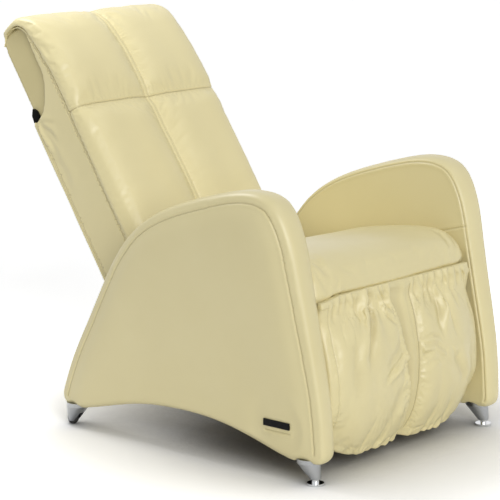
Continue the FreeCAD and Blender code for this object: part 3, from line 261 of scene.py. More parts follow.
# %% [markdown]
# ### Metals
#
# The legs are cast aluminium cones, turned and then brushed, so fine rings run round
# them and smear the reflections. The glides are chromium-plated steel, which is a
# mirror with a few smudges. The hidden tubes are powder-coated, which dries with a
# slight orange peel. Bolts, rods and screws are bare bright steel.

# %% Metals
def marked(name, light, dark, roughness, spread, grain, stretch, strength, relief, pattern):
    """A finish whose tone, gloss and relief all follow one pattern of marks."""
    material, tree, shader, where = new_material(name)
    scaled = add(tree, "ShaderNodeMapping", {"Scale": stretch}, {"Vector": where}).outputs["Vector"]
    marks = add(tree, "ShaderNodeTexNoise", {"Scale": 1 / grain, **pattern},
                {"Vector": scaled}).outputs["Fac"]
    tree.links.new(two_tone(tree, marks, light, dark), shader.inputs["Base Color"])
    rough = add(tree, "ShaderNodeMapRange", {"To Min": roughness - spread, "To Max": roughness + spread},
                {"Value": marks}).outputs["Result"]
    tree.links.new(rough, shader.inputs["Roughness"])
    bump = add(tree, "ShaderNodeBump", {"Strength": strength, "Distance": relief}, {"Height": marks})
    tree.links.new(bump.outputs["Normal"], shader.inputs["Normal"])
    return material, shader


def metal(name, light, dark, roughness, spread, grain, stretch=(1, 1, 1), metallic=1.0,
          relief=0.02 * mm):
    material, shader = marked(name, light, dark, roughness, spread, grain, stretch, 0.4, relief,
                              {"Detail": 5.0})
    shader.inputs["Metallic"].default_value = metallic
    return material


brushed_aluminium = metal("brushed_cast_aluminium", "B4B6B8", "8E9093", 0.25, 0.08, 6 * mm, (1, 1, 18))
chromed_steel = metal("chromium_plated_steel", "E4E5E6", "D6D8DA", 0.09, 0.04, 9 * mm)
bright_steel = metal("bright_rolled_steel", "B9BABB", "9C9DA0", 0.28, 0.07, 3 * mm, (6, 1, 1))
coated_steel = metal("powder_coated_steel", "3A3B3D", "2E2F31", 0.42, 0.05, 1.6 * mm, metallic=0.0,
                     relief=0.06 * mm)

# %% [markdown]
# ### Plastics, rubber, plywood and the black mouth sheet
#
# The small plate on the arm is glossy black acrylic. The switch and the sockets are
# moulded ABS with a fine spark-eroded texture, the wheels have rubber tyres, the
# massage rollers are cast polyurethane, the boards are birch plywood with long grain,
# and a black sheet fills the mouth behind the head as painted shade. They share the metals'
# recipe, without the metal. The plate and the black sheet mirror less than most plastics.

# %% Other finishes
def moulded(name, light, dark, roughness, grain, relief, stretch=(1, 1, 1), specular=0.5):
    material, shader = marked(name, light, dark, roughness, 0.06, grain, stretch, 0.5, relief,
                              {"Detail": 6.0, "Roughness": 0.6})
    shader.inputs["Specular IOR Level"].default_value = specular
    return material


gloss_plate = moulded("glossy_black_acrylic", "070707", "040405", 0.42, 30 * mm, 0.01 * mm,
                      specular=0.12)
black_plastic = moulded("moulded_black_abs", "1B1B1C", "131314", 0.45, 0.8 * mm, 0.05 * mm)
wheel_rubber = moulded("black_tyre_rubber", "191918", "23231F", 0.62, 2.0 * mm, 0.08 * mm)
polyurethane = moulded("cast_polyurethane", "D9C79A", "CDB988", 0.38, 12 * mm, 0.03 * mm)
plywood = moulded("birch_plywood", "D9B98A", "B98F5C", 0.6, 10 * mm, 0.1 * mm, (1, 0.08, 1))
# A black sheet for the mouth: painted shade for its dark inside.
mouth_shade_black = moulded("black_sheet_painted_shade", "080808", "111110", 0.9, 1.4 * mm, 0.3 * mm,
                          specular=0.1)


def pair(*names):
    return [name + side for name in names for side in ("_left", "_right")]


finishes = {
    brushed_aluminium: pair("front_leg", "rear_leg"),
    chromed_steel: pair("front_glide"),
    bright_steel: ["wheel_axles", "frame_bolts", "legrest_hinge_pins", "guide_rods", "lead_screw",
                   "kneading_shaft", "recline_rod", "legrest_rod"],
    coated_steel: ["front_beam", "rear_beam", "seat_frame", "back_frame", "legrest_frame",
                   "carriage_frame", "recline_actuator", "legrest_actuator"]
    + pair("back_hinge_bracket", "massage_arm"),
    plywood: ["seat_board", "legrest_board"] + pair("arm_core"),
    wheel_rubber: pair("rear_wheel"),
    gloss_plate: ["side_plate"],
    black_plastic: ["power_box", "power_inlet", "power_switch", "handset_socket", "screw_motor",
                    "kneading_motor"],
    polyurethane: pair("roller_upper", "roller_lower"),
    mouth_shade_black: ["mouth_lining"],
}
for finish, nodes in finishes.items():
    for node in nodes:
        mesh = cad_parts[node].data
        mesh.materials.clear()
        mesh.materials.append(finish)
print("finished", sum(len(nodes) for nodes in finishes.values()), "frame pieces")

# %% [markdown]
# ## Light and floor
#
# The photograph has a white studio sweep and a dark soft shadow under the seat. The
# main light is broad and comes from the chair's front right, a weak one comes from the
# other side above, and a small softbox hangs behind the head. An even sky fills the
# rest, and the background is plain white wherever the camera or a reflection looks.

# %% World and lamps
sky_level = 0.315
# Name, energy, angular size in degrees, and the direction that the light comes from
lamps = [
    ("front_left_umbrella", 1.78, 34, (-0.50, -0.79, 0.36)),
    ("right_umbrella", 0.22, 28, (0.35, -0.42, 0.84)),
]
top_light_place = (-330.0, 1440.0, 1950.0)
top_light_aim = (250.0, 260.0, 520.0)
top_light_size = 0.8
top_light_power = 12.0


def looked_at(tree):
    """1 where the camera, a reflection or a clear material looks, 0 for light on its way."""
    ray = add(tree, "ShaderNodeLightPath").outputs
    seen = add(tree, "ShaderNodeMath", joins={0: ray["Is Camera Ray"], 1: ray["Is Glossy Ray"]},
               operation="MAXIMUM")
    return add(tree, "ShaderNodeMath", joins={0: seen.outputs[0], 1: ray["Is Transmission Ray"]},
               operation="MAXIMUM").outputs[0]


def hang(lamp, direction):
    """Puts a lamp into the scene; the direction is where its light comes from."""
    holder = bpy.data.objects.new(lamp.name, lamp)
    holder.rotation_mode = "QUATERNION"
    holder.rotation_quaternion = Vector(direction).to_track_quat("Z", "Y")
    scene.collection.objects.link(holder)
    return holder


world = bpy.data.worlds.new("studio")
scene.world = world
world.use_nodes = True
tree = world.node_tree
tree.nodes.clear()
level = add(tree, "ShaderNodeMapRange", {"To Min": sky_level, "To Max": 1.0},
            {"Value": looked_at(tree)})
sky = add(tree, "ShaderNodeBackground", {"Color": (1, 1, 1, 1)}, {"Strength": level.outputs["Result"]})
add(tree, "ShaderNodeOutputWorld", joins={"Surface": sky.outputs["Background"]})

for name, energy, spread, direction in lamps:
    lamp = bpy.data.lights.new(name, "SUN")
    lamp.energy = energy
    lamp.angle = math.radians(spread)
    hang(lamp, direction)

softbox = bpy.data.lights.new("top_softbox", "AREA")
softbox.shape = "SQUARE"
softbox.size = top_light_size
softbox.energy = top_light_power
holder = hang(softbox, place(*top_light_place) - place(*top_light_aim))
holder.location = place(*top_light_place)
holder.visible_camera = False

scene.view_settings.view_transform = "Standard"
print("sky", sky_level, "lamps", len(lamps) + 1)

# %% [markdown]
# ### Studio paper
#
# The floor is a sheet of white paper that takes the chair's shadow. Paper that is lit
# as evenly as this one shows a weak shadow, and the photograph has a dark one. So where
# the camera looks, the paper is darkened by how much of the sky the chair hides from it,
# which is what the Ambient Occlusion node measures. The light that the paper throws
# back on the chair comes from its plain colour.

# %% Floor
floor_size = 24.0
floor_lit = 0.92
floor_seen = 1.78
shadow_reach = 0.45
shadow_depth = 1.3
fibre_size = 40 * mm

floor_mesh = bpy.data.meshes.new("studio_floor")
bm = bmesh.new()
bmesh.ops.create_grid(bm, x_segments=1, y_segments=1, size=floor_size / 2)
bm.to_mesh(floor_mesh)
bm.free()
floor = bpy.data.objects.new("studio_floor", floor_mesh)
scene.collection.objects.link(floor)
material, tree, shader, where = new_material("white_studio_paper")
open_sky = add(tree, "ShaderNodeAmbientOcclusion", {"Distance": shadow_reach}, samples=16).outputs["AO"]
open_sky = add(tree, "ShaderNodeMath", {1: shadow_depth}, {0: open_sky}, operation="POWER")
shown = add(tree, "ShaderNodeMath", {1: floor_seen}, {0: open_sky.outputs[0]}, operation="MULTIPLY")
white = add(tree, "ShaderNodeMapRange", {"To Min": floor_lit},
            {"Value": looked_at(tree), "To Max": shown.outputs[0]})
tree.links.new(white.outputs["Result"], shader.inputs["Base Color"])
fibre = add(tree, "ShaderNodeTexNoise", {"Scale": 1 / fibre_size, "Detail": 2.0}, {"Vector": where})
bump = add(tree, "ShaderNodeBump", {"Strength": 0.1, "Distance": 0.1 * mm},
           {"Height": fibre.outputs["Fac"]})
tree.links.new(bump.outputs["Normal"], shader.inputs["Normal"])
shader.inputs["Roughness"].default_value = 0.9
shader.inputs["Specular IOR Level"].default_value = 0.0
floor_mesh.materials.append(material)
print("floor", floor_size, "m wide")

# %% [markdown]
# ## How a cover is made here
#
# Each leather cover starts as a copy of its stuffed form. Its loose triangles are
# joined, and a voxel remesh turns it into even squares that can stretch like hide.
# The corners of the form are where the panels are sewn together, so they are read
# from the form before the remesh softens them.

# %% Copies and lines
joining_distance = 0.01 * mm
# Every line on a cover has its points at this step; shorter lines than the least are left out
line_step = 2 * mm
least_line = 30 * mm
sharp_turn = math.radians(50.0)
corner_angle = math.radians(28.0)


def joined_copy(node):
    bm = bmesh.new()
    bm.from_mesh(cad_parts[node].data)
    bmesh.ops.remove_doubles(bm, verts=bm.verts, dist=joining_distance)
    bmesh.ops.recalc_face_normals(bm, faces=bm.faces)
    return bm


def evenly(points, step):
    """The same line with points at an even step."""
    spaced = [points[0]]
    left = step
    for a, b in zip(points[:-1], points[1:]):
        length = (b - a).length
        at = left
        while at <= length and length > 0:
            spaced.append(a.lerp(b, at / length))
            at += step
        left = at - length
    return spaced


def join_edges(edges, keep):
    """Orders edges into lines, broken where they fork, turn sharply or leave the kept part."""
    ends = {}
    for e in edges:
        if keep((e.verts[0].co + e.verts[1].co) / 2):
            for v in e.verts:
                ends.setdefault(v, []).append(e)
    used = set()
    lines = []
    starts = [v for v, es in ends.items() if len(es) != 2] + list(ends)
    for start in starts:
        for first in ends[start]:
            if first in used:
                continue
            line = [start.co.copy()]
            v = start
            e = first
            while e is not None:
                used.add(e)
                v = e.other_vert(v)
                line.append(v.co.copy())
                onward = [x for x in ends[v] if x not in used] if len(ends[v]) == 2 else []
                e = onward[0] if onward else None
            lines.append(line)
    parts = []
    for line in lines:
        part = line[:2]
        for point in line[2:]:
            turned = (part[-1] - part[-2]).angle(point - part[-1], 0.0)
            if turned > sharp_turn:
                parts.append(part)
                part = [part[-1]]
            part.append(point)
        parts.append(part)
    parts = [evenly(part, line_step) for part in parts]
    return [part for part in parts if (len(part) - 1) * line_step > least_line]


def corner_lines(bm):
    """Lines along the form's outer corners, where its panels are sewn together."""
    surface = BVHTree.FromBMesh(bm)
    sharp = []
    for e in bm.edges:
        if len(e.link_faces) == 2 and e.calc_face_angle(0.0) > corner_angle:
            middle = (e.verts[0].co + e.verts[1].co) / 2
            out = (e.link_faces[0].normal + e.link_faces[1].normal).normalized()
            if surface.ray_cast(middle + out * 0.5 * mm, out, 0.1)[0] is None:
                sharp.append(e)
    return join_edges(sharp, lambda p: True)


def cut_lines(bm, point, normal, keep):
    """Lines where a flat cut meets the form."""
    copy = bm.copy()
    cut = bmesh.ops.bisect_plane(copy, geom=copy.verts[:] + copy.edges[:] + copy.faces[:],
                                 plane_co=point, plane_no=normal, dist=joining_distance)
    edges = [g for g in cut["geom_cut"] if isinstance(g, bmesh.types.BMEdge)]
    lines = join_edges(edges, keep)
    copy.free()
    return lines


# %% Remeshing, measuring and moving a cover
def new_piece(name, bm, material):
    mesh = bpy.data.meshes.new(name)
    bm.to_mesh(mesh)
    bm.free()
    piece = bpy.data.objects.new(name, mesh)
    scene.collection.objects.link(piece)
    mesh.materials.append(material)
    mesh.shade_smooth()
    return piece


def with_modifiers_applied(piece):
    depsgraph = bpy.context.evaluated_depsgraph_get()
    mesh = bpy.data.meshes.new_from_object(piece.evaluated_get(depsgraph))
    old = piece.data
    mesh.name = old.name
    piece.modifiers.clear()
    piece.data = mesh
    bpy.data.meshes.remove(old)
    piece.data.shade_smooth()


def remesh(piece, size, smoothing=4):
    even = piece.modifiers.new("even squares", "REMESH")
    even.mode = "VOXEL"
    even.voxel_size = size
    even.use_smooth_shade = True
    with_modifiers_applied(piece)
    bm = bmesh.new()
    bm.from_mesh(piece.data)
    for _ in range(smoothing):
        bmesh.ops.smooth_vert(bm, verts=bm.verts, factor=0.5, use_axis_x=True, use_axis_y=True,
                              use_axis_z=True)
    bm.to_mesh(piece.data)
    bm.free()


def read_points(piece):
    points = np.zeros(len(piece.data.vertices) * 3)
    piece.data.vertices.foreach_get("co", points)
    return points.reshape(-1, 3)


def read_normals(piece):
    normals = np.zeros(len(piece.data.vertices) * 3)
    piece.data.vertices.foreach_get("normal", normals)
    return normals.reshape(-1, 3)


def write_points(piece, points):
    piece.data.vertices.foreach_set("co", points.ravel())
    piece.data.update()


def line_distance(points, lines):
    """Distance of each point from the nearest line, and how far along that line it is."""
    samples = [(p, k * line_step) for line in lines for k, p in enumerate(line)]
    tree = KDTree(len(samples))
    for i, (p, _) in enumerate(samples):
        tree.insert(p, i)
    tree.balance()
    distance = np.zeros(len(points))
    along = np.zeros(len(points))
    for i, p in enumerate(points):
        _, nearest, d = tree.find(p)
        distance[i] = d
        along[i] = samples[nearest][1]
    return distance, along


def surface_of(piece):
    return BVHTree.FromPolygons([v.co for v in piece.data.vertices],
                                [p.vertices[:] for p in piece.data.polygons])


def laid_on(piece, lines):
    """The lines, moved to the nearest place on the cover."""
    surface = surface_of(piece)
    return [evenly([surface.find_nearest(p)[0] for p in line], line_step) for line in lines]


def split_squares(piece, chosen):
    """Splits the squares whose points are chosen."""
    bm = bmesh.new()
    bm.from_mesh(piece.data)
    edges = [e for e in bm.edges if chosen[e.verts[0].index] and chosen[e.verts[1].index]]
    bmesh.ops.subdivide_edges(bm, edges=edges, cuts=1, use_grid_fill=True, smooth=0.0)
    bm.to_mesh(piece.data)
    bm.free()


def refine(piece, lines, reach, rounds=1):
    """Splits the squares near the lines, so that a narrow seam has enough points."""
    for _ in range(rounds):
        distance, _ = line_distance(read_points(piece), lines)
        split_squares(piece, distance < reach)
        reach *= 0.6


# A row beside a line starts anew where it jumps, and a row of few points is dropped
widest_jump = 8 * mm
fewest_points = 6


def beside(piece, lines, offset, keep):
    """Lines that run beside the given ones on the cover, for rows of stitches."""
    surface = surface_of(piece)
    found = []
    for line in lines:
        row = []
        for a, b in zip(line[:-1], line[1:]):
            _, normal, _, _ = surface.find_nearest((a + b) / 2)
            sideways = (b - a).cross(normal).normalized() * offset
            at, out, _, _ = surface.find_nearest((a + b) / 2 + sideways)
            if keep(at, out) and (not row or (at - row[-1]).length < widest_jump):
                row.append(at)
            elif len(row) > fewest_points:
                found.append(row)
                row = []
        if len(row) > fewest_points:
            found.append(row)
    return [evenly(row, line_step) for row in found]


def add_shade(piece, amount):
    """Adds painted shade to the cover's seam_shade, which darkens the leather in its seams and folds."""
    layer = piece.data.attributes.get("seam_shade")
    if layer is None:
        layer = piece.data.attributes.new("seam_shade", "FLOAT", "POINT")
    values = np.zeros(len(piece.data.vertices))
    layer.data.foreach_get("value", values)
    layer.data.foreach_set("value", np.clip(values + amount, 0, 1))


seam_shoulder = 0.35


def press_seam(piece, lines, depth, width, shade):
    """Presses a sewn seam into the cover; the stuffing rises a little on both sides."""
    points = read_points(piece)
    normals = read_normals(piece)
    distance, _ = line_distance(points, lines)
    groove = np.exp(-(distance / width) ** 2)
    rise = np.exp(-((distance - 3.2 * width) / (1.8 * width)) ** 2)
    write_points(piece, points + normals * (seam_shoulder * depth * rise - depth * groove)[:, None])
    # The bottom of the groove is darkened: painted shade.
    add_shade(piece, shade * groove ** 1.5)


def raise_welt(piece, lines, height, half_width, shade):
    """A felled seam: the doubled leather stands up between its two rows of stitches."""
    points = read_points(piece)
    normals = read_normals(piece)
    distance, _ = line_distance(points, lines)
    band = np.exp(-(distance / half_width) ** 4)
    groove = np.exp(-((distance - 1.4 * half_width) / (0.35 * half_width)) ** 2)
    write_points(piece, points + normals * (height * (band - 0.8 * groove))[:, None])
    # The grooves beside the welt are darkened: painted shade.
    add_shade(piece, shade * groove)


def ripple(piece, size, height, seed, part=None):
    """Uneven stuffing: slow swells in the cover, the same at each run."""
    points = read_points(piece)
    normals = read_normals(piece)
    shift = Vector((seed * 7.3, seed * 3.1, seed * 5.7))
    swell = np.array([noise(Vector(p) / size + shift) for p in points])
    if part is not None:
        swell = swell * part
    write_points(piece, points + normals * (swell * height)[:, None])


def smooth_step(value, low, high):
    t = np.clip((value - low) / (high - low), 0, 1)
    return t * t * (3 - 2 * t)


# %% [markdown]
# ### Stuffing
#
# Foam pushes the leather out between the seams that hold it down. Blender's cloth
# solver does the same: the points on the seams are pinned, the air pressure inside
# takes the part of the foam, and a dozen frames are enough for the cover to settle.
# How far a point may move is capped, so that the chair keeps its measurements.

# %% Cloth pressure
cloth_frames = 12


def stuff(piece, pinned, pressure, cap, slack, snug=None):
    """Swells a cover between its pinned points. Where it is snug it has no slack to wrinkle."""
    before = read_points(piece)
    group = piece.vertex_groups.new(name="pinned")
    for share in (1.0, 0.6, 0.3):
        chosen = np.nonzero((pinned > share - 0.2) & (pinned <= share + 0.2))[0]
        group.add([int(i) for i in chosen], share, "REPLACE")
    cloth = piece.modifiers.new("stuffing", "CLOTH")
    settings = cloth.settings
    settings.quality = 4
    settings.mass = 0.4
    settings.tension_stiffness = 12
    settings.compression_stiffness = 6
    settings.bending_stiffness = 0.6
    settings.shrink_min = -slack
    if snug is not None:
        tight = piece.vertex_groups.new(name="snug")
        for i in np.nonzero(snug > 0.05)[0]:
            tight.add([int(i)], float(snug[i]), "REPLACE")
        settings.vertex_group_shrink = "snug"
        settings.shrink_max = 0.0
    settings.use_pressure = True
    settings.uniform_pressure_force = pressure
    settings.vertex_group_mass = "pinned"
    settings.effector_weights.gravity = 0
    cloth.point_cache.frame_start = 1
    cloth.point_cache.frame_end = cloth_frames
    for number in range(1, cloth_frames + 1):
        scene.frame_set(number)
    evaluated = piece.evaluated_get(bpy.context.evaluated_depsgraph_get())
    after = np.zeros(len(before) * 3)
    evaluated.data.vertices.foreach_get("co", after)
    piece.modifiers.clear()
    piece.vertex_groups.clear()
    scene.frame_set(1)
    moved = after.reshape(-1, 3) - before
    length = np.linalg.norm(moved, axis=1)
    scale = cap * np.tanh(length / cap) / np.maximum(length, 1e-9)
    write_points(piece, before + moved * scale[:, None])
    print(piece.name, "stuffed, moved up to", round(float(length.max()) / mm, 1), "mm")


# %% [markdown]
# ### Stitches
#
# A topstitched seam has a row of stitches on each side, about 4 mm from the fold, and
# each stitch dips into the leather at both ends. One stitch is a small tube of six
# sides bent down at its ends; it is laid along the seam as often as it is needed.

# %% One stitch, and rows of them
stitch_length = 5.2 * mm
stitch_pitch = 7.0 * mm
thread_radius = 0.5 * mm
stitch_dip = 2.2 * thread_radius
stitch_sides = 6


def one_stitch():
    bm = bmesh.new()
    bmesh.ops.create_cone(bm, segments=stitch_sides, radius1=thread_radius, radius2=thread_radius,
                          depth=stitch_length, cap_ends=True)
    bmesh.ops.rotate(bm, verts=bm.verts, matrix=Matrix.Rotation(math.pi / 2, 3, "Y"))
    middle = [e for e in bm.edges if abs(e.verts[0].co.x - e.verts[1].co.x) > stitch_length / 2]
    bmesh.ops.subdivide_edges(bm, edges=middle, cuts=3, use_grid_fill=False)
    for v in bm.verts:
        v.co.z -= stitch_dip * (abs(v.co.x) / (stitch_length / 2)) ** 3
    mesh = bpy.data.meshes.new("one_stitch")
    bm.to_mesh(mesh)
    bm.free()
    return mesh


stitch = one_stitch()


def sew(name, piece, lines, offsets, body, keep=lambda at, out: True):
    """Rows of stitches beside the lines, on the cover's surface, where keep allows them."""
    surface = surface_of(piece)
    rows = bmesh.new()
    count = 0
    for line in lines:
        spaced = evenly(line, stitch_pitch)
        for a, b in zip(spaced[:-1], spaced[1:]):
            centre = (a + b) / 2
            _, normal, _, _ = surface.find_nearest(centre)
            if normal is None:
                continue
            side = (b - a).cross(normal).normalized()
            for offset in offsets:
                at, out, _, _ = surface.find_nearest(centre + side * offset)
                if not keep(at, out):
                    continue
                ahead = (b - a).normalized()
                ahead = (ahead - out * ahead.dot(out)).normalized()
                across = out.cross(ahead)
                turned = Matrix((ahead, across, out)).transposed().to_4x4()
                where = Matrix.Translation(at + out * thread_radius * 0.35) @ turned
                stitch.transform(where)
                rows.from_mesh(stitch)
                stitch.transform(where.inverted())
                count += 1
    seam = new_piece(name, rows, thread)
    if body:
        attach(seam, body)
    print(name, count, "stitches")
    return seam


# %% [markdown]
# ### Folds
#
# A fold in leather is a valley with a swell on one side of it, and it fades out at its
# end. Here it is a short line of places on a cover, with a depth, a width and the side
# of its swell, and all the folds of a cover add up to one height for each point.

# %% Height of a fold
def fold_height(across, up, line, depth, width, swell_side):
    """Height of one fold at each point, in millimetres."""
    best = np.full(len(across), 1e9)
    sideways = np.zeros(len(across))
    reached = np.zeros(len(across))
    travelled = 0.0
    for (x0, z0), (x1, z1) in zip(line[:-1], line[1:]):
        dx, dz = x1 - x0, z1 - z0
        length = math.hypot(dx, dz)
        t = np.clip(((across - x0) * dx + (up - z0) * dz) / length ** 2, 0, 1)
        away = np.hypot(across - x0 - t * dx, up - z0 - t * dz)
        side = np.sign((across - x0) * dz - (up - z0) * dx)
        nearer = away < best
        best = np.where(nearer, away, best)
        sideways = np.where(nearer, away * side, sideways)
        reached = np.where(nearer, travelled + t * length, reached)
        travelled += length
    tail = 1 - smooth_step(reached, travelled * 0.45, travelled)
    tail *= np.exp(-(np.maximum(best - 6 * width, 0) / width) ** 2)
    swell = np.exp(-((sideways * swell_side - 1.9 * width) / (1.3 * width)) ** 2)
    return tail * depth * (0.75 * swell - np.exp(-(best / width) ** 2))


# %% [markdown]
# ## Arms
#
# Each arm is a plywood core wrapped in foam. Two flat leather panels cover its sides,
# and a convex band runs over the top, down the front and round the foot, sewn to both
# panels with a topstitched seam. The panels swell by a few millimetres away from the
# seams. Towards the outer seam the foam is cut round, so the arm has a soft shoulder
# there, and the seam lies a finger's breadth inside it. Round the black plate the
# panel stays flat.

# %% Arms
arm_square = 6.0 * mm
arm_swell_reach = 95 * mm
arm_outer_swell = 4.0 * mm
arm_inner_swell = 1.5 * mm
# How far the outer panel is drawn in along its seam, and how wide that shoulder is
shoulder_drop = 14.0 * mm
shoulder_on_panel = 34 * mm
shoulder_on_band = 60 * mm
shoulder_from = (335 * mm, 380 * mm)
seam_inset = 11 * mm
plate_surround = (20 * mm, 95 * mm)
# A panel faces aside at least this much, and the band's under side faces down this much
panel_flatness = 0.985
under_side = -0.6
# An arm's inner seam lies within the first of these, and its outer seam beyond the second
inner_seam_x = 312 * mm
arm_middle_x = 345 * mm
# The seam across the inner panel, as depth and height, and where it lies across the chair
inner_seam = [(40, 506), (118, 485), (210, 461)]
inner_panel_x = 298


def panel_lines(bm, sides_only=True):
    """Lines where an arm's flat side panels meet its band."""
    edges = []
    for e in bm.edges:
        if len(e.link_faces) == 2:
            band, panel = sorted(e.link_faces, key=lambda f: abs(f.normal.x))
            if abs(band.normal.x) < panel_flatness < abs(panel.normal.x):
                facing = band.normal.z / math.hypot(band.normal.y, band.normal.z)
                if facing > under_side or not sides_only:
                    edges.append(e)
    return join_edges(edges, lambda p: abs(p.x) < inner_seam_x or abs(p.x) > arm_middle_x)


def inset_line(arm, line, offset, sign):
    """The line moved off the shoulder, on to the outer panel."""
    surface = surface_of(arm)
    row = []
    for a, b in zip(line[:-1], line[1:]):
        _, normal, _, _ = surface.find_nearest((a + b) / 2)
        step = (b - a).cross(normal).normalized() * offset
        both = [surface.find_nearest((a + b) / 2 + step * way) for way in (1, -1)]
        row.append(max(both, key=lambda found: found[1].x * sign)[0])
    return evenly(row, line_step)


def round_shoulder(arm, formed, flat, outline, sign):
    """Draws the arm in along its outer seam; formed holds its points from before the swell."""
    distance, _ = line_distance(formed, outline)
    reach = shoulder_on_band + (shoulder_on_panel - shoulder_on_band) * flat
    drop = shoulder_drop * np.exp(-(distance / reach) ** 2)
    drop = drop * smooth_step(formed[:, 0] * sign, *shoulder_from)
    low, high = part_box("side_plate")
    plate = (low + high) / 2
    drop *= smooth_step(np.hypot(formed[:, 1] - plate.y, formed[:, 2] - plate.z), *plate_surround)
    points = read_points(arm)
    points[:, 0] -= sign * drop
    write_points(arm, points)


def make_arm(side, sign):
    form = joined_copy("arm_pad_" + side)
    seams = panel_lines(form)
    rims = panel_lines(form, sides_only=False)
    arm = new_piece("arm_cover_" + side, form, cream_leather)
    remesh(arm, arm_square, 2)
    points = read_points(arm)
    normals = read_normals(arm)
    distance, _ = line_distance(points, rims)
    away = 1 - np.exp(-(distance / arm_swell_reach) ** 2)
    flat = smooth_step(np.abs(normals[:, 0]), 0.8, 0.97)
    outer = normals[:, 0] * sign > 0
    swell = np.where(outer, arm_outer_swell, arm_inner_swell)
    write_points(arm, points + normals * (away * flat * swell)[:, None])
    ripple(arm, 180 * mm, 1.2 * mm, 3 if sign > 0 else 5)
    outline = [line for line in seams if line[0].x * sign > arm_middle_x]
    round_shoulder(arm, points, flat, outline, sign)
    outline = laid_on(arm, outline)
    seams = laid_on(arm, [line for line in seams if line[0].x * sign < arm_middle_x])
    seams += [inset_line(arm, line, seam_inset, sign) for line in outline]
    across = [place(sign * inner_panel_x, y, z) for y, z in inner_seam]
    across = laid_on(arm, [evenly(across, line_step)])
    refine(arm, seams + across, 18 * mm, 2)
    press_seam(arm, seams, 1.9 * mm, 2.0 * mm, 0.42)
    press_seam(arm, across, 1.0 * mm, 2.0 * mm, 0.3)
    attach(arm, "base")
    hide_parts("arm_pad_" + side)
    print(arm.name, len(arm.data.vertices), "points, seams",
          [round(len(line) * line_step, 2) for line in seams])
    sew("arm_stitching_" + side, arm, seams + across, (4.5 * mm, -4.5 * mm), "base")


make_arm("left", 1)
make_arm("right", -1)

# %% [markdown]
# ## Back cushion
#
# The cushion is four leather quarters over foam. One seam runs down the middle and a
# second across it, and both draw the cover in, so each quarter crowns. At the top the
# cushion rolls over the head end, where the leather is gathered along its side seam.

# %% Back cushion
back_square = 6.0 * mm
cross_seam_s = 503.0
seam_pin = 7 * mm
corner_pin = 10 * mm
back_swell = 6.0 * mm
valley_depth = 2.6 * mm
# The head end of the back starts here, as a distance up it
head_from_s = 690
# The hollow behind the cushion, where the massage rollers travel, keeps its walls
hollow_half_width = 225 * mm
hollow_from_n = -12.0


def front_of_back(point):
    n, s = back_depth(point)
    return n < 60 or s > 700


def gather(piece, lines, height, pitch, reach, part):
    """Small puckers that run out from a seam, as where a long edge is eased into a short one."""
    points = read_points(piece)
    normals = read_normals(piece)
    distance, along = line_distance(points, lines)
    drift = np.array([noise(Vector(p) / (40 * mm)) for p in points])
    wave = np.cos(along / pitch * 2 * math.pi + drift * 7.0)
    fade = np.exp(-distance / reach) * smooth_step(distance, 7 * mm, 18 * mm)
    uneven = np.clip(0.4 + 1.3 * drift, 0, 1.5)
    write_points(piece, points + normals * (wave * fade * height * uneven * part)[:, None])


def thin_end(piece, node, from_n, to_n, share):
    """Thins the end of the roll, so that it lies down on the shell behind it."""
    shell = surface_of(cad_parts[node])
    points = read_points(piece)
    for i, p in enumerate(points):
        n, s = back_depth(p)
        if n > from_n and s > head_from_s:
            at, _, _, _ = shell.find_nearest(Vector(p))
            points[i] = at.lerp(Vector(p), 1 - (1 - share) * smooth_step(n, from_n, to_n))
    write_points(piece, points)


def reach_back(piece, to_s=768.0):
    """Draws the head end's rear corner out to the straight rear line of the back."""
    points = read_points(piece)
    placed = np.array([back_depth(p) for p in points])
    rows = np.arange(620, 800, 10)
    furthest = [placed[np.abs(placed[:, 1] - s) < 8, 0].max(initial=0) for s in rows]
    rear_n = np.interp(placed[:, 1], [680, 766], [104, 119])
    missing = np.clip(rear_n - np.interp(placed[:, 1], rows, furthest), 0, 60)
    share = smooth_step(placed[:, 0], 28, 64) * smooth_step(placed[:, 1], 640, 700)
    share *= 1 - smooth_step(placed[:, 1], to_s, to_s + 18)
    out = np.array(on_back(0, 1, 0) - on_back(0, 0, 0))
    write_points(piece, points + out * (missing * share)[:, None])


def back_pins(back, seams, corners):
    """How firmly each point is held: along the seams and corners, and all over the rear."""
    points = read_points(back)
    distance, _ = line_distance(points, seams)
    edge, _ = line_distance(points, corners)
    pinned = np.maximum(np.exp(-(distance / seam_pin) ** 2), np.exp(-(edge / corner_pin) ** 2))
    placed = np.array([back_depth(p) for p in points])
    towards_rear = on_back(0, 1, 0) - on_back(0, 0, 0)
    faces_rear = read_normals(back) @ np.array(towards_rear.normalized()) > 0.05
    hollow = (np.abs(points[:, 0]) < hollow_half_width) & (placed[:, 0] > hollow_from_n)
    rear = ((placed[:, 0] > 20) | hollow | faces_rear) & (placed[:, 1] < head_from_s)
    return np.where(rear, 1.0, pinned)


def draw_in(back, middle, across):
    """The seams pull the cover in, each in a wide valley."""
    points = read_points(back)
    valley = np.exp(-(line_distance(points, middle)[0] / (16 * mm)))
    valley = np.maximum(valley, 0.8 * np.exp(-(line_distance(points, across)[0] / (12 * mm))))
    write_points(back, points - read_normals(back) * (valley * valley_depth)[:, None])


def highest(line):
    return max(back_depth(p)[1] for p in line)


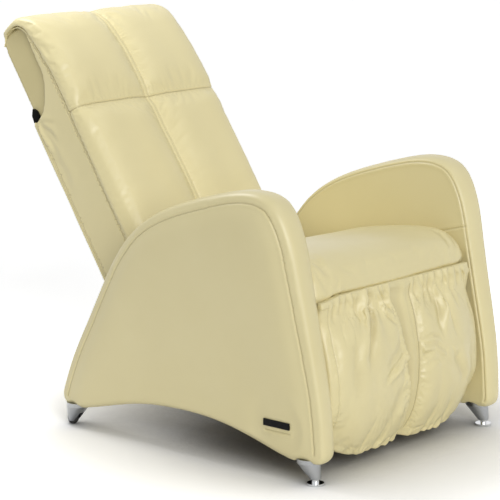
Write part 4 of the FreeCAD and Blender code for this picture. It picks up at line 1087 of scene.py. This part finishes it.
def make_back():
    form = joined_copy("back_pad")
    corners = corner_lines(form)
    middle = cut_lines(form, Vector((0, 0, 0)), Vector((1, 0, 0)), front_of_back)
    up_back = on_back(0, 0, 1) - on_back(0, 0, 0)
    across = cut_lines(form, on_back(0, 0, cross_seam_s), up_back, lambda p: back_depth(p)[0] < -12)
    back = new_piece("back_cushion", form, cream_leather)
    remesh(back, back_square)
    stuff(back, back_pins(back, middle + across, corners), 4.0, back_swell, 0.012)
    thin_end(back, "head_shell", 25, 100, 0.42)
    reach_back(back, 790.0)
    middle = laid_on(back, middle)
    across = laid_on(back, across)
    draw_in(back, middle, across)
    refine(back, [line for line in corners if highest(line) > 560], 32 * mm)
    upper = np.array([smooth_step(back_depth(p)[1], 400, 600) for p in read_points(back)])
    gather(back, corners, 0.9 * mm, 9 * mm, 26 * mm, upper)
    ripple(back, 170 * mm, 2.4 * mm, 11)
    ripple(back, 50 * mm, 0.5 * mm, 12)
    middle = laid_on(back, middle)
    across = laid_on(back, across)
    refine(back, middle + across, 16 * mm, 2)
    press_seam(back, across, 1.6 * mm, 1.8 * mm, 0.6)
    raise_welt(back, middle, 1.5 * mm, 5.0 * mm, 0.16)
    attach(back, "backrest")
    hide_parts("back_pad")
    print(back.name, len(back.data.vertices), "points,", len(corners), "corner lines")
    sew("back_stitching", back, middle + across, (4.2 * mm, -4.2 * mm), "backrest")
    roll = [line for line in corners if highest(line) > 740]
    sew("roll_stitching", back, roll, (11 * mm, -11 * mm), "backrest",
        lambda at, out: back_depth(at)[1] > 660 and abs(out.x) < 0.8)


make_back()

# %% [markdown]
# ## Back sides, head end and rear
#
# Below the cushion's side the chair has a firm leather skirt, which turns a narrow
# topstitched strip towards the cushion. At the head the side is recessed into a panel with
# a round top, whose leather is darkened as painted shade, and behind it a shell carries
# the leather round to the rear.

# %% Firm panels of the back
swell_reach = 60 * mm


def make_panel(name, node, square, material, swell=0.0):
    form = joined_copy(node)
    seams = corner_lines(form)
    panel = new_piece(name, form, material)
    remesh(panel, square, 2)
    if swell:
        points = read_points(panel)
        distance, _ = line_distance(points, seams)
        away = 1 - np.exp(-(distance / swell_reach) ** 2)
        write_points(panel, points + read_normals(panel) * (away * swell)[:, None])
    ripple(panel, 120 * mm, 0.8 * mm, len(name))
    refine(panel, seams, 8 * mm)
    distance, _ = line_distance(read_points(panel), seams)
    # A thin line along each seam is darkened: painted shade.
    add_shade(panel, 0.35 * np.exp(-(distance / (1.5 * mm)) ** 2))
    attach(panel, "backrest")
    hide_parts(node)
    print(name, len(panel.data.vertices), "points")
    return panel, seams


skirt_hem = 11 * mm
skirt_rows = (3 * mm, -3 * mm)
outer_corner_x = 248 * mm
# Folds that run down and forward from the mouth, as depth and distance up the back
mouth_folds = [([(97, 524), (80, 496), (66, 452)], 2.6, 7, 1),
               ([(99, 512), (90, 470), (86, 420)], 2.2, 7, -1),
               ([(92, 532), (66, 516), (42, 506)], 2.0, 6, 1),
               ([(100, 440), (92, 380), (96, 300)], 1.6, 12, 1)]


def faces_aside(at, out):
    return abs(out.x) > 0.85


for side, sign in (("left", 1), ("right", -1)):
    cover, seams = make_panel("side_skirt_" + side, "back_side_cover_" + side, 4 * mm, cream_leather)
    points = read_points(cover)
    normals = read_normals(cover)
    placed = np.array([back_depth(p) for p in points])
    wander = np.array([noise(Vector(p) / (40 * mm)) for p in points]) * 4
    height = sum(fold_height(placed[:, 0] + wander, placed[:, 1] + wander, *fold)
                 for fold in mouth_folds)
    height *= smooth_step(normals[:, 0] * sign, 0.5, 0.9)
    write_points(cover, points + normals * (height * mm)[:, None])
    outer = [line for line in seams if sum(p.x * sign for p in line) / len(line) > outer_corner_x]
    rows = []
    for offset in (skirt_hem, -skirt_hem):
        rows += beside(cover, outer, offset, faces_aside)
    refine(cover, rows, 9 * mm)
    press_seam(cover, rows, 0.9 * mm, 1.6 * mm, 0.45)
    sew("skirt_stitching_" + side, cover, rows, skirt_rows, "backrest", faces_aside)
    # The head panel gets the darker leather: painted shade for its recess.
    panel, _ = make_panel("head_panel_" + side, "head_side_panel_" + side, 4 * mm, painted_shade_leather)
    reach_back(panel)
head, _ = make_panel("head_shell_cover", "head_shell", 5 * mm, cream_leather)
reach_back(head)
rear, _ = make_panel("rear_panel", "rear_cover", 5 * mm, cream_leather, swell=3.0 * mm)

# %% [markdown]
# ### The dark mouth
#
# Between the head end and the rear panel the back is open, and a black sheet lines that
# mouth as painted shade for its dark inside. It is a shallow channel right across the
# chair: one outline in the side view, extruded over the width with its corners rounded.

# %% Mouth lining
mouth_outline = [(100, 528), (118, 531), (124, 545), (121, 564), (108, 579), (98, 566)]
mouth_half_width = 246.0
mouth_round = 2.5 * mm


def make_mouth():
    bm = bmesh.new()
    ring = [bm.verts.new(on_back(-mouth_half_width, n, s)) for n, s in mouth_outline]
    face = bm.faces.new(ring)
    grown = bmesh.ops.extrude_face_region(bm, geom=[face])
    moved = [g for g in grown["geom"] if isinstance(g, bmesh.types.BMVert)]
    bmesh.ops.translate(bm, verts=moved, vec=(2 * mouth_half_width * mm, 0, 0))
    bmesh.ops.recalc_face_normals(bm, faces=bm.faces)
    bmesh.ops.bevel(bm, geom=bm.edges[:], offset=mouth_round, segments=2, profile=0.5,
                    affect="EDGES", material=-1)
    mouth = new_piece("mouth_shade_sheet", bm, mouth_shade_black)
    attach(mouth, "backrest")
    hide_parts("mouth_lining")
    print(mouth.name, len(mouth.data.vertices), "points")


make_mouth()

# %% [markdown]
# ## Seat cushion
#
# The seat is one crowned cushion whose cover rolls over the front edge and ends in a
# seam above the leg rest.

# %% Seat
seat_square = 6.0 * mm
lip_forward = 5.0 * mm
lip_lift = 12.0
lip_narrowing = 10.0
droop = 15.0
seat_swell = 5.0 * mm
# Below this height and behind this depth the cushion rests on its board and stays flat
board_height = 402 * mm
board_from = place(0, 60, 0).y
seat_creases = [([(-232, 420), (-208, 446), (-192, 468)], 1.6, 5, 1),
                ([(-214, 420), (-180, 442)], 1.2, 5, -1),
                ([(-252, 424), (-238, 452)], 1.2, 5, 1),
                ([(190, 424), (206, 448)], 1.0, 6, -1)]


def seam_droop(across):
    """How far the seam between the seat and the leg rest hangs down at the chair's right corner."""
    return droop * smooth_step(-across, 215, 290)


def make_seat():
    form = joined_copy("seat_cushion")
    corners = corner_lines(form)
    seat = new_piece("seat_cover", form, cream_leather)
    remesh(seat, seat_square)
    points = read_points(seat)
    edge, _ = line_distance(points, corners)
    pinned = np.exp(-(edge / corner_pin) ** 2)
    rests = (points[:, 2] < board_height) & (points[:, 1] > board_from)
    stuff(seat, np.where(rests, 1.0, pinned), 3.0, seat_swell, 0.02)
    points = read_points(seat)
    across = points[:, 0] / mm
    lip = 1 - smooth_step(points[:, 1], place(0, 40, 0).y, place(0, 66, 0).y)
    lip *= 1 - smooth_step(points[:, 2], 412 * mm, 446 * mm)
    points[:, 2] += (lip_lift - seam_droop(across)) * mm * lip
    points[:, 1] -= lip_forward * lip
    points[:, 0] -= lip_narrowing * mm * smooth_step(across, 200, 285) * lip
    write_points(seat, points)
    front = smooth_step(-read_normals(seat)[:, 1], 0.3, 0.7)
    height = sum(fold_height(across, points[:, 2] / mm, *fold) for fold in seat_creases) * front
    write_points(seat, points + read_normals(seat) * (height * mm)[:, None])
    ripple(seat, 140 * mm, 3.0 * mm, 21)
    ripple(seat, 40 * mm, 0.6 * mm, 22)
    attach(seat, "base")
    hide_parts("seat_cushion")
    print(seat.name, len(seat.data.vertices), "points")


make_seat()

# %% [markdown]
# ## Leg rest
#
# The leg rest is the loosest cover on the chair. Two bags of soft leather, one for
# each leg, are pleated into the top seam and tucked in again at the bottom, and a flat
# strip between them is pulled inwards.

# %% Leg rest form
leg_square = 4.5 * mm
leg_hinge_y = 38.0
leg_hinge_z = 386.0
roll_radius = 18.5
neck_half_width = 236.0
leg_half_width = 286.0
wrap_inner_radius = 13.6
wrap_outer_radius = 20.5
wrap_from_deg = 125.0
wrap_deg = 115.0
# Height on the strip between the bags, its half width there, and how deep it lies
strip_rows = [(30, 12, 4), (60, 14, 6), (110, 19, 11), (200, 25, 16), (300, 32, 13), (360, 36, 8),
              (417, 39, 3)]
# The flat band under the seat's edge, from and to in depth and in height
top_band = (14.0, 34.0, 396.0, 423.0)
# The disc at each end of the hinge, from and to across the chair, and its radius
knuckle_cap = (282.5, 289.0, 15.5)


def add_bar(bm, middle, radius, length, sides):
    """A round bar that lies across the chair."""
    bar = bmesh.ops.create_cone(bm, segments=sides, radius1=radius * mm, radius2=radius * mm,
                                depth=length * mm, cap_ends=True)["verts"]
    bmesh.ops.rotate(bm, verts=bar, matrix=Matrix.Rotation(math.pi / 2, 3, "Y"))
    bmesh.ops.translate(bm, verts=bar, vec=place(middle, leg_hinge_y, leg_hinge_z))


def add_roll(bm):
    """The top edge turns over the hinge as a full roll, and its ends wrap the knuckles."""
    add_bar(bm, 0, roll_radius, 2 * neck_half_width, 40)
    axis = place(0, leg_hinge_y, leg_hinge_z)
    start = math.radians(wrap_from_deg)
    for side in (-1, 1):
        x0 = side * (neck_half_width - 4)
        x1 = side * leg_half_width
        corners = [(x0, wrap_inner_radius), (x1, wrap_inner_radius), (x1, wrap_outer_radius),
                   (x0, wrap_outer_radius)]
        ring = [bm.verts.new(place(x, leg_hinge_y + r * math.cos(start),
                                   leg_hinge_z + r * math.sin(start)))
                for x, r in corners]
        edges = [bm.edges.new((ring[i], ring[(i + 1) % 4])) for i in range(4)]
        spun = bmesh.ops.spin(bm, geom=ring + edges, cent=axis, axis=(1, 0, 0), dvec=(0, 0, 0),
                              angle=math.radians(wrap_deg), steps=14, use_merge=False)
        last = [g for g in spun["geom_last"] if isinstance(g, bmesh.types.BMEdge)]
        bmesh.ops.contextual_create(bm, geom=edges)
        bmesh.ops.contextual_create(bm, geom=last)
        x0, x1, radius = knuckle_cap
        add_bar(bm, side * (x0 + x1) / 2, radius, x1 - x0, 32)
    y0, y1, z0, z1 = top_band
    band = bmesh.ops.create_cube(bm, size=1.0)["verts"]
    width = 2 * (leg_half_width + 3)
    bmesh.ops.scale(bm, verts=band, vec=(width * mm, (y1 - y0) * mm, (z1 - z0) * mm))
    bmesh.ops.translate(bm, verts=band, vec=place(0, (y0 + y1) / 2, (z0 + z1) / 2))
    bmesh.ops.recalc_face_normals(bm, faces=bm.faces)


def on_strip(column, z):
    return np.interp(z, [row[0] for row in strip_rows], [row[column] for row in strip_rows])


def strip_half(z):
    return on_strip(1, z)


def strip_depth(z):
    return on_strip(2, z)


# %% [markdown]
# ### Folds
#
# Each fold on the bags is written as a line of places on the front of the leg rest
# (across, up, in millimetres), with its depth, its width and the side of its swell.
# The pleats start at the top seam. Two long slanting folds cross the left bag, short
# ones crumple the right bag at knee height, and tucks gather the lower edge.

# %% Folds
folds = [
    # pleats of the bag on the chair's right, from its outer edge to the strip
    ([(-248, 417), (-250, 350)], 2.6, 6, 1), ([(-224, 417), (-226, 372)], 3.4, 6, 1),
    ([(-201, 417), (-199, 385)], 2.4, 5, -1), ([(-179, 417), (-170, 378), (-168, 352)], 3.6, 6, 1),
    ([(-152, 417), (-165, 360), (-195, 318)], 2.6, 9, -1),
    ([(-116, 417), (-122, 368), (-146, 322), (-172, 268), (-182, 225)], 7.0, 11, 1),
    ([(-97, 417), (-86, 385), (-84, 366)], 3.0, 5, -1),
    ([(-82, 417), (-62, 378), (-52, 350)], 5.0, 7, 1), ([(-66, 417), (-52, 390)], 3.0, 5, 1),
    ([(-70, 352), (-60, 340), (-46, 340)], 3.0, 7, -1),
    # slanting folds of the same bag
    ([(-44, 258), (-66, 246), (-104, 222), (-136, 196)], 4.0, 6, -1),
    ([(-52, 280), (-82, 258), (-128, 226)], 2.6, 12, -1),
    ([(-212, 300), (-220, 220), (-214, 150)], 2.4, 16, 1),
    ([(-60, 170), (-84, 120), (-92, 84)], 2.6, 14, -1),
    # pleats of the other bag
    ([(58, 417), (60, 372), (54, 345)], 3.4, 6, 1), ([(76, 417), (84, 380)], 3.2, 5, -1),
    ([(96, 417), (90, 372), (70, 348)], 4.4, 7, 1), ([(116, 417), (112, 372), (96, 330)], 3.6, 7, -1),
    ([(139, 417), (124, 367), (110, 309), (112, 255)], 6.0, 9, -1),
    ([(146, 417), (150, 350), (162, 300), (176, 252)], 5.0, 8, 1),
    ([(172, 417), (180, 370)], 3.0, 6, -1), ([(198, 417), (196, 360), (206, 320)], 3.4, 8, 1),
    ([(228, 417), (232, 362)], 3.0, 6, 1), ([(254, 417), (256, 368)], 2.4, 5, -1),
    # crumples at knee height
    ([(42, 278), (70, 284), (98, 276), (112, 256)], 2.0, 5, 1),
    ([(46, 264), (84, 258), (116, 242), (134, 212)], 2.8, 6, 1),
    ([(40, 240), (70, 247), (112, 226), (144, 186)], 1.8, 7, -1),
    ([(52, 222), (84, 224), (100, 208)], 1.2, 6, 1),
    ([(160, 210), (186, 170), (188, 120)], 2.6, 14, -1),
    # tucks along the lower edge
    ([(-246, 20), (-236, 58)], 3.2, 7, 1), ([(-206, 20), (-200, 62)], 2.8, 7, -1),
    ([(-173, 20), (-180, 64)], 3.4, 8, 1), ([(-134, 20), (-128, 50)], 2.6, 6, -1),
    ([(-110, 20), (-94, 66)], 5.0, 8, 1), ([(-74, 20), (-58, 56)], 4.0, 7, 1),
    ([(-44, 20), (-30, 50)], 3.0, 6, 1),
    ([(46, 20), (56, 48)], 2.6, 6, -1), ([(82, 20), (106, 52)], 4.2, 6, 1),
    ([(104, 20), (126, 56)], 3.6, 5, 1), ([(128, 20), (146, 66)], 4.2, 7, 1),
    ([(168, 20), (180, 70)], 3.4, 8, -1), ([(214, 20), (216, 72)], 3.0, 8, 1),
    ([(250, 20), (244, 70)], 2.6, 7, -1),
]


# %% [markdown]
# ### Cover and board
#
# The cover is stuffed first, so that the foam gives it its crown, and the folds are
# laid on it after that. The strip between the bags has a piping down its middle and is
# drawn in, and each side ends in a hem. Behind the bags is the plywood that carries
# them.

# %% Leg rest, drawn in and rounded
bag_swell = 9 * mm
bag_pressure = 5.0
bag_slack = 0.04
front_smoothing = 45
fold_gain = 1.75
bottom_lift = 62.0
middle_lift = 10.0
least_roll = 17.0
side_hem = 17.0
board_inset = 10.0
board_square = 3.5 * mm
board_taper = 0.03


def pull_in(across, up):
    """The cover's upper corner on the chair's left is drawn in along the seam."""
    return 11 * smooth_step(across, 150, 286) * smooth_step(up, 290, 415)


def even_front(leg, low, high, rounds):
    """Evens out the front of the cover between two heights, without moving it sideways."""
    bm = bmesh.new()
    bm.from_mesh(leg.data)
    front = [v for v in bm.verts if v.normal.y < -0.25 and low < v.co.z < high]
    for _ in range(rounds):
        bmesh.ops.smooth_vert(bm, verts=front, factor=0.5, use_axis_x=False, use_axis_y=True,
                              use_axis_z=True)
    bm.to_mesh(leg.data)
    bm.free()


def bottom_rise(across, up):
    """How far the lower edge of the leg rest is rounded up, in millimetres."""
    corner = np.clip((np.abs(across) - 150) / (leg_half_width - 150), 0, 1) ** 2
    lift = bottom_lift * corner + middle_lift * np.exp(-(across / 30) ** 2)
    return lift * (1 - smooth_step(up, 30, 190))


# %% Leg rest board
def make_leg_board():
    """The plywood behind the bags, sawn round at its lower edge so that the leather covers it."""
    board = new_piece("leg_rest_plywood", joined_copy("legrest_board"), plywood)
    remesh(board, board_square, 1)
    points = read_points(board)
    across = points[:, 0] / mm
    up = points[:, 2] / mm
    low = up.min()
    under = 1 - smooth_step(up, low, low + 190)
    points[:, 2] += (bottom_rise(across, np.full(len(up), low)) + board_inset) * mm * under
    points[:, 0] *= 1 - board_taper * under
    write_points(board, points)
    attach(board, "legrest")
    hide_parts("legrest_board")
    print(board.name, len(board.data.vertices), "points")


# %% Leg rest cover
def leg_pins(points, normals):
    """How firmly each point is held: the strip, the seams and all that lies on the board."""
    across = points[:, 0] / mm
    up = points[:, 2] / mm
    edge = np.abs(np.abs(across) - strip_half(up))
    pinned = np.exp(-(edge / 5) ** 2) * smooth_step(-normals[:, 1], 0.05, 0.5)
    pinned = np.maximum(pinned, smooth_step(up, 362, 384))
    pinned = np.maximum(pinned, np.exp(-((up - 30) / 12) ** 2))
    pinned = np.where((normals[:, 1] > 0.1) | (np.abs(across) > leg_half_width - 6), 1.0, pinned)
    return np.where(np.abs(across) < strip_half(up), 1.0, pinned)


def leg_relief(points, facing):
    """Height of the folds, the strip and its piping at each point, in millimetres."""
    across = points[:, 0] / mm
    up = points[:, 2] / mm
    wander = np.array([noise(Vector(p) / (45 * mm)) for p in points]) * 5
    height = np.zeros(len(points))
    for fold in folds:
        height += fold_gain * fold_height(across + wander, up + wander, *fold)
    height *= 0.55 + 0.45 * smooth_step(up, 60, 120)
    height *= 1 - 0.6 * smooth_step(np.abs(across), 252, 272)
    half = strip_half(up)
    bags = np.maximum(smooth_step(-across, half - 2, half + 5), smooth_step(across, half - 2, half + 14))
    piping = 4.0 * np.exp(-((across - 0.35 * half) / (0.3 * half)) ** 2) * smooth_step(up, 90, 200)
    sunk = strip_depth(up) * (0.25 + 0.75 * np.clip((half - across) / (2 * half), 0, 1))
    lap = 6.0 * np.exp(-((across + half + 9) / 7) ** 2)
    height = (height + lap) * bags * facing + (piping - sunk) * (1 - bags) * facing
    return height * (1 - 0.55 * smooth_step(up, 398, 416))


def round_off(points, across, up):
    """Keeps the roll full round the hinge, lifts the lower corners and draws in the upper one."""
    off_y = points[:, 1] - place(0, leg_hinge_y, 0).y
    off_z = points[:, 2] - leg_hinge_z * mm
    radius = np.hypot(off_y, off_z) / mm
    short = np.clip(least_roll - radius, 0, 8) * (np.abs(across) < neck_half_width - 8) * (up > 366)
    points[:, 1] += off_y / radius * short
    points[:, 2] += off_z / radius * short
    points[:, 2] += bottom_rise(across, up) * mm
    points[:, 2] -= 0.6 * seam_droop(across) * mm * smooth_step(up, 396, 412)
    outwards = -4 * smooth_step(-across, 240, 286)
    inwards = pull_in(across, up) * smooth_step(radius, 22, 34)
    points[:, 0] += (outwards - inwards) * mm


def seen_line(surface, x_at):
    """A line up the front of the cover, at the given place across the chair for each height."""
    hits = [surface.ray_cast(place(x_at(z) - pull_in(x_at(z), z), -400, z), Vector((0, 1, 0)))[0]
            for z in range(60, 412, 4)]
    return evenly([hit for hit in hits if hit is not None], line_step)


def make_leg_rest():
    form = joined_copy("legrest_pad")
    add_roll(form)
    leg = new_piece("leg_rest_cover", form, cream_leather)
    remesh(leg, leg_square)
    even_front(leg, 48 * mm, 404 * mm, front_smoothing)
    points = read_points(leg)
    snug = smooth_step(np.abs(points[:, 0] / mm), 205, 245)
    stuff(leg, leg_pins(points, read_normals(leg)), bag_pressure, bag_swell, bag_slack, snug)
    split_squares(leg, (read_normals(leg)[:, 1] < -0.15) | (read_points(leg)[:, 2] < 60 * mm))

    points = read_points(leg)
    normals = read_normals(leg)
    across = points[:, 0] / mm
    up = points[:, 2] / mm
    facing = smooth_step(-normals[:, 1], 0.05, 0.5)
    height = leg_relief(points, facing)
    points += normals * (height * mm)[:, None]
    round_off(points, across, up)
    write_points(leg, points)
    # The fold valleys are darkened by their depth: painted shade.
    add_shade(leg, 0.36 * np.clip(-height / 12, 0, 1) * facing)
    ripple(leg, 60 * mm, 1.4 * mm, 31, facing)
    ripple(leg, 20 * mm, 0.6 * mm, 32, facing)
    even_front(leg, 30 * mm, 420 * mm, 1)

    surface = surface_of(leg)
    lines = []
    for side in (-1, 1):
        lines.append(seen_line(surface, lambda z: side * strip_half(z)))
        lines.append(seen_line(surface, lambda z: side * (leg_half_width - side_hem)))
    refine(leg, lines, 7 * mm, 1)
    press_seam(leg, [lines[0], lines[2]], 1.3 * mm, 1.7 * mm, 0.6)
    press_seam(leg, [lines[1], lines[3]], 0.7 * mm, 1.6 * mm, 0.3)
    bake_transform(leg)
    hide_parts("legrest_pad")
    print(leg.name, len(leg.data.vertices), "points")
    stitching = sew("leg_rest_stitching", leg, lines, (4 * mm, -4 * mm), None)
    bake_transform(stitching)


make_leg_rest()
make_leg_board()
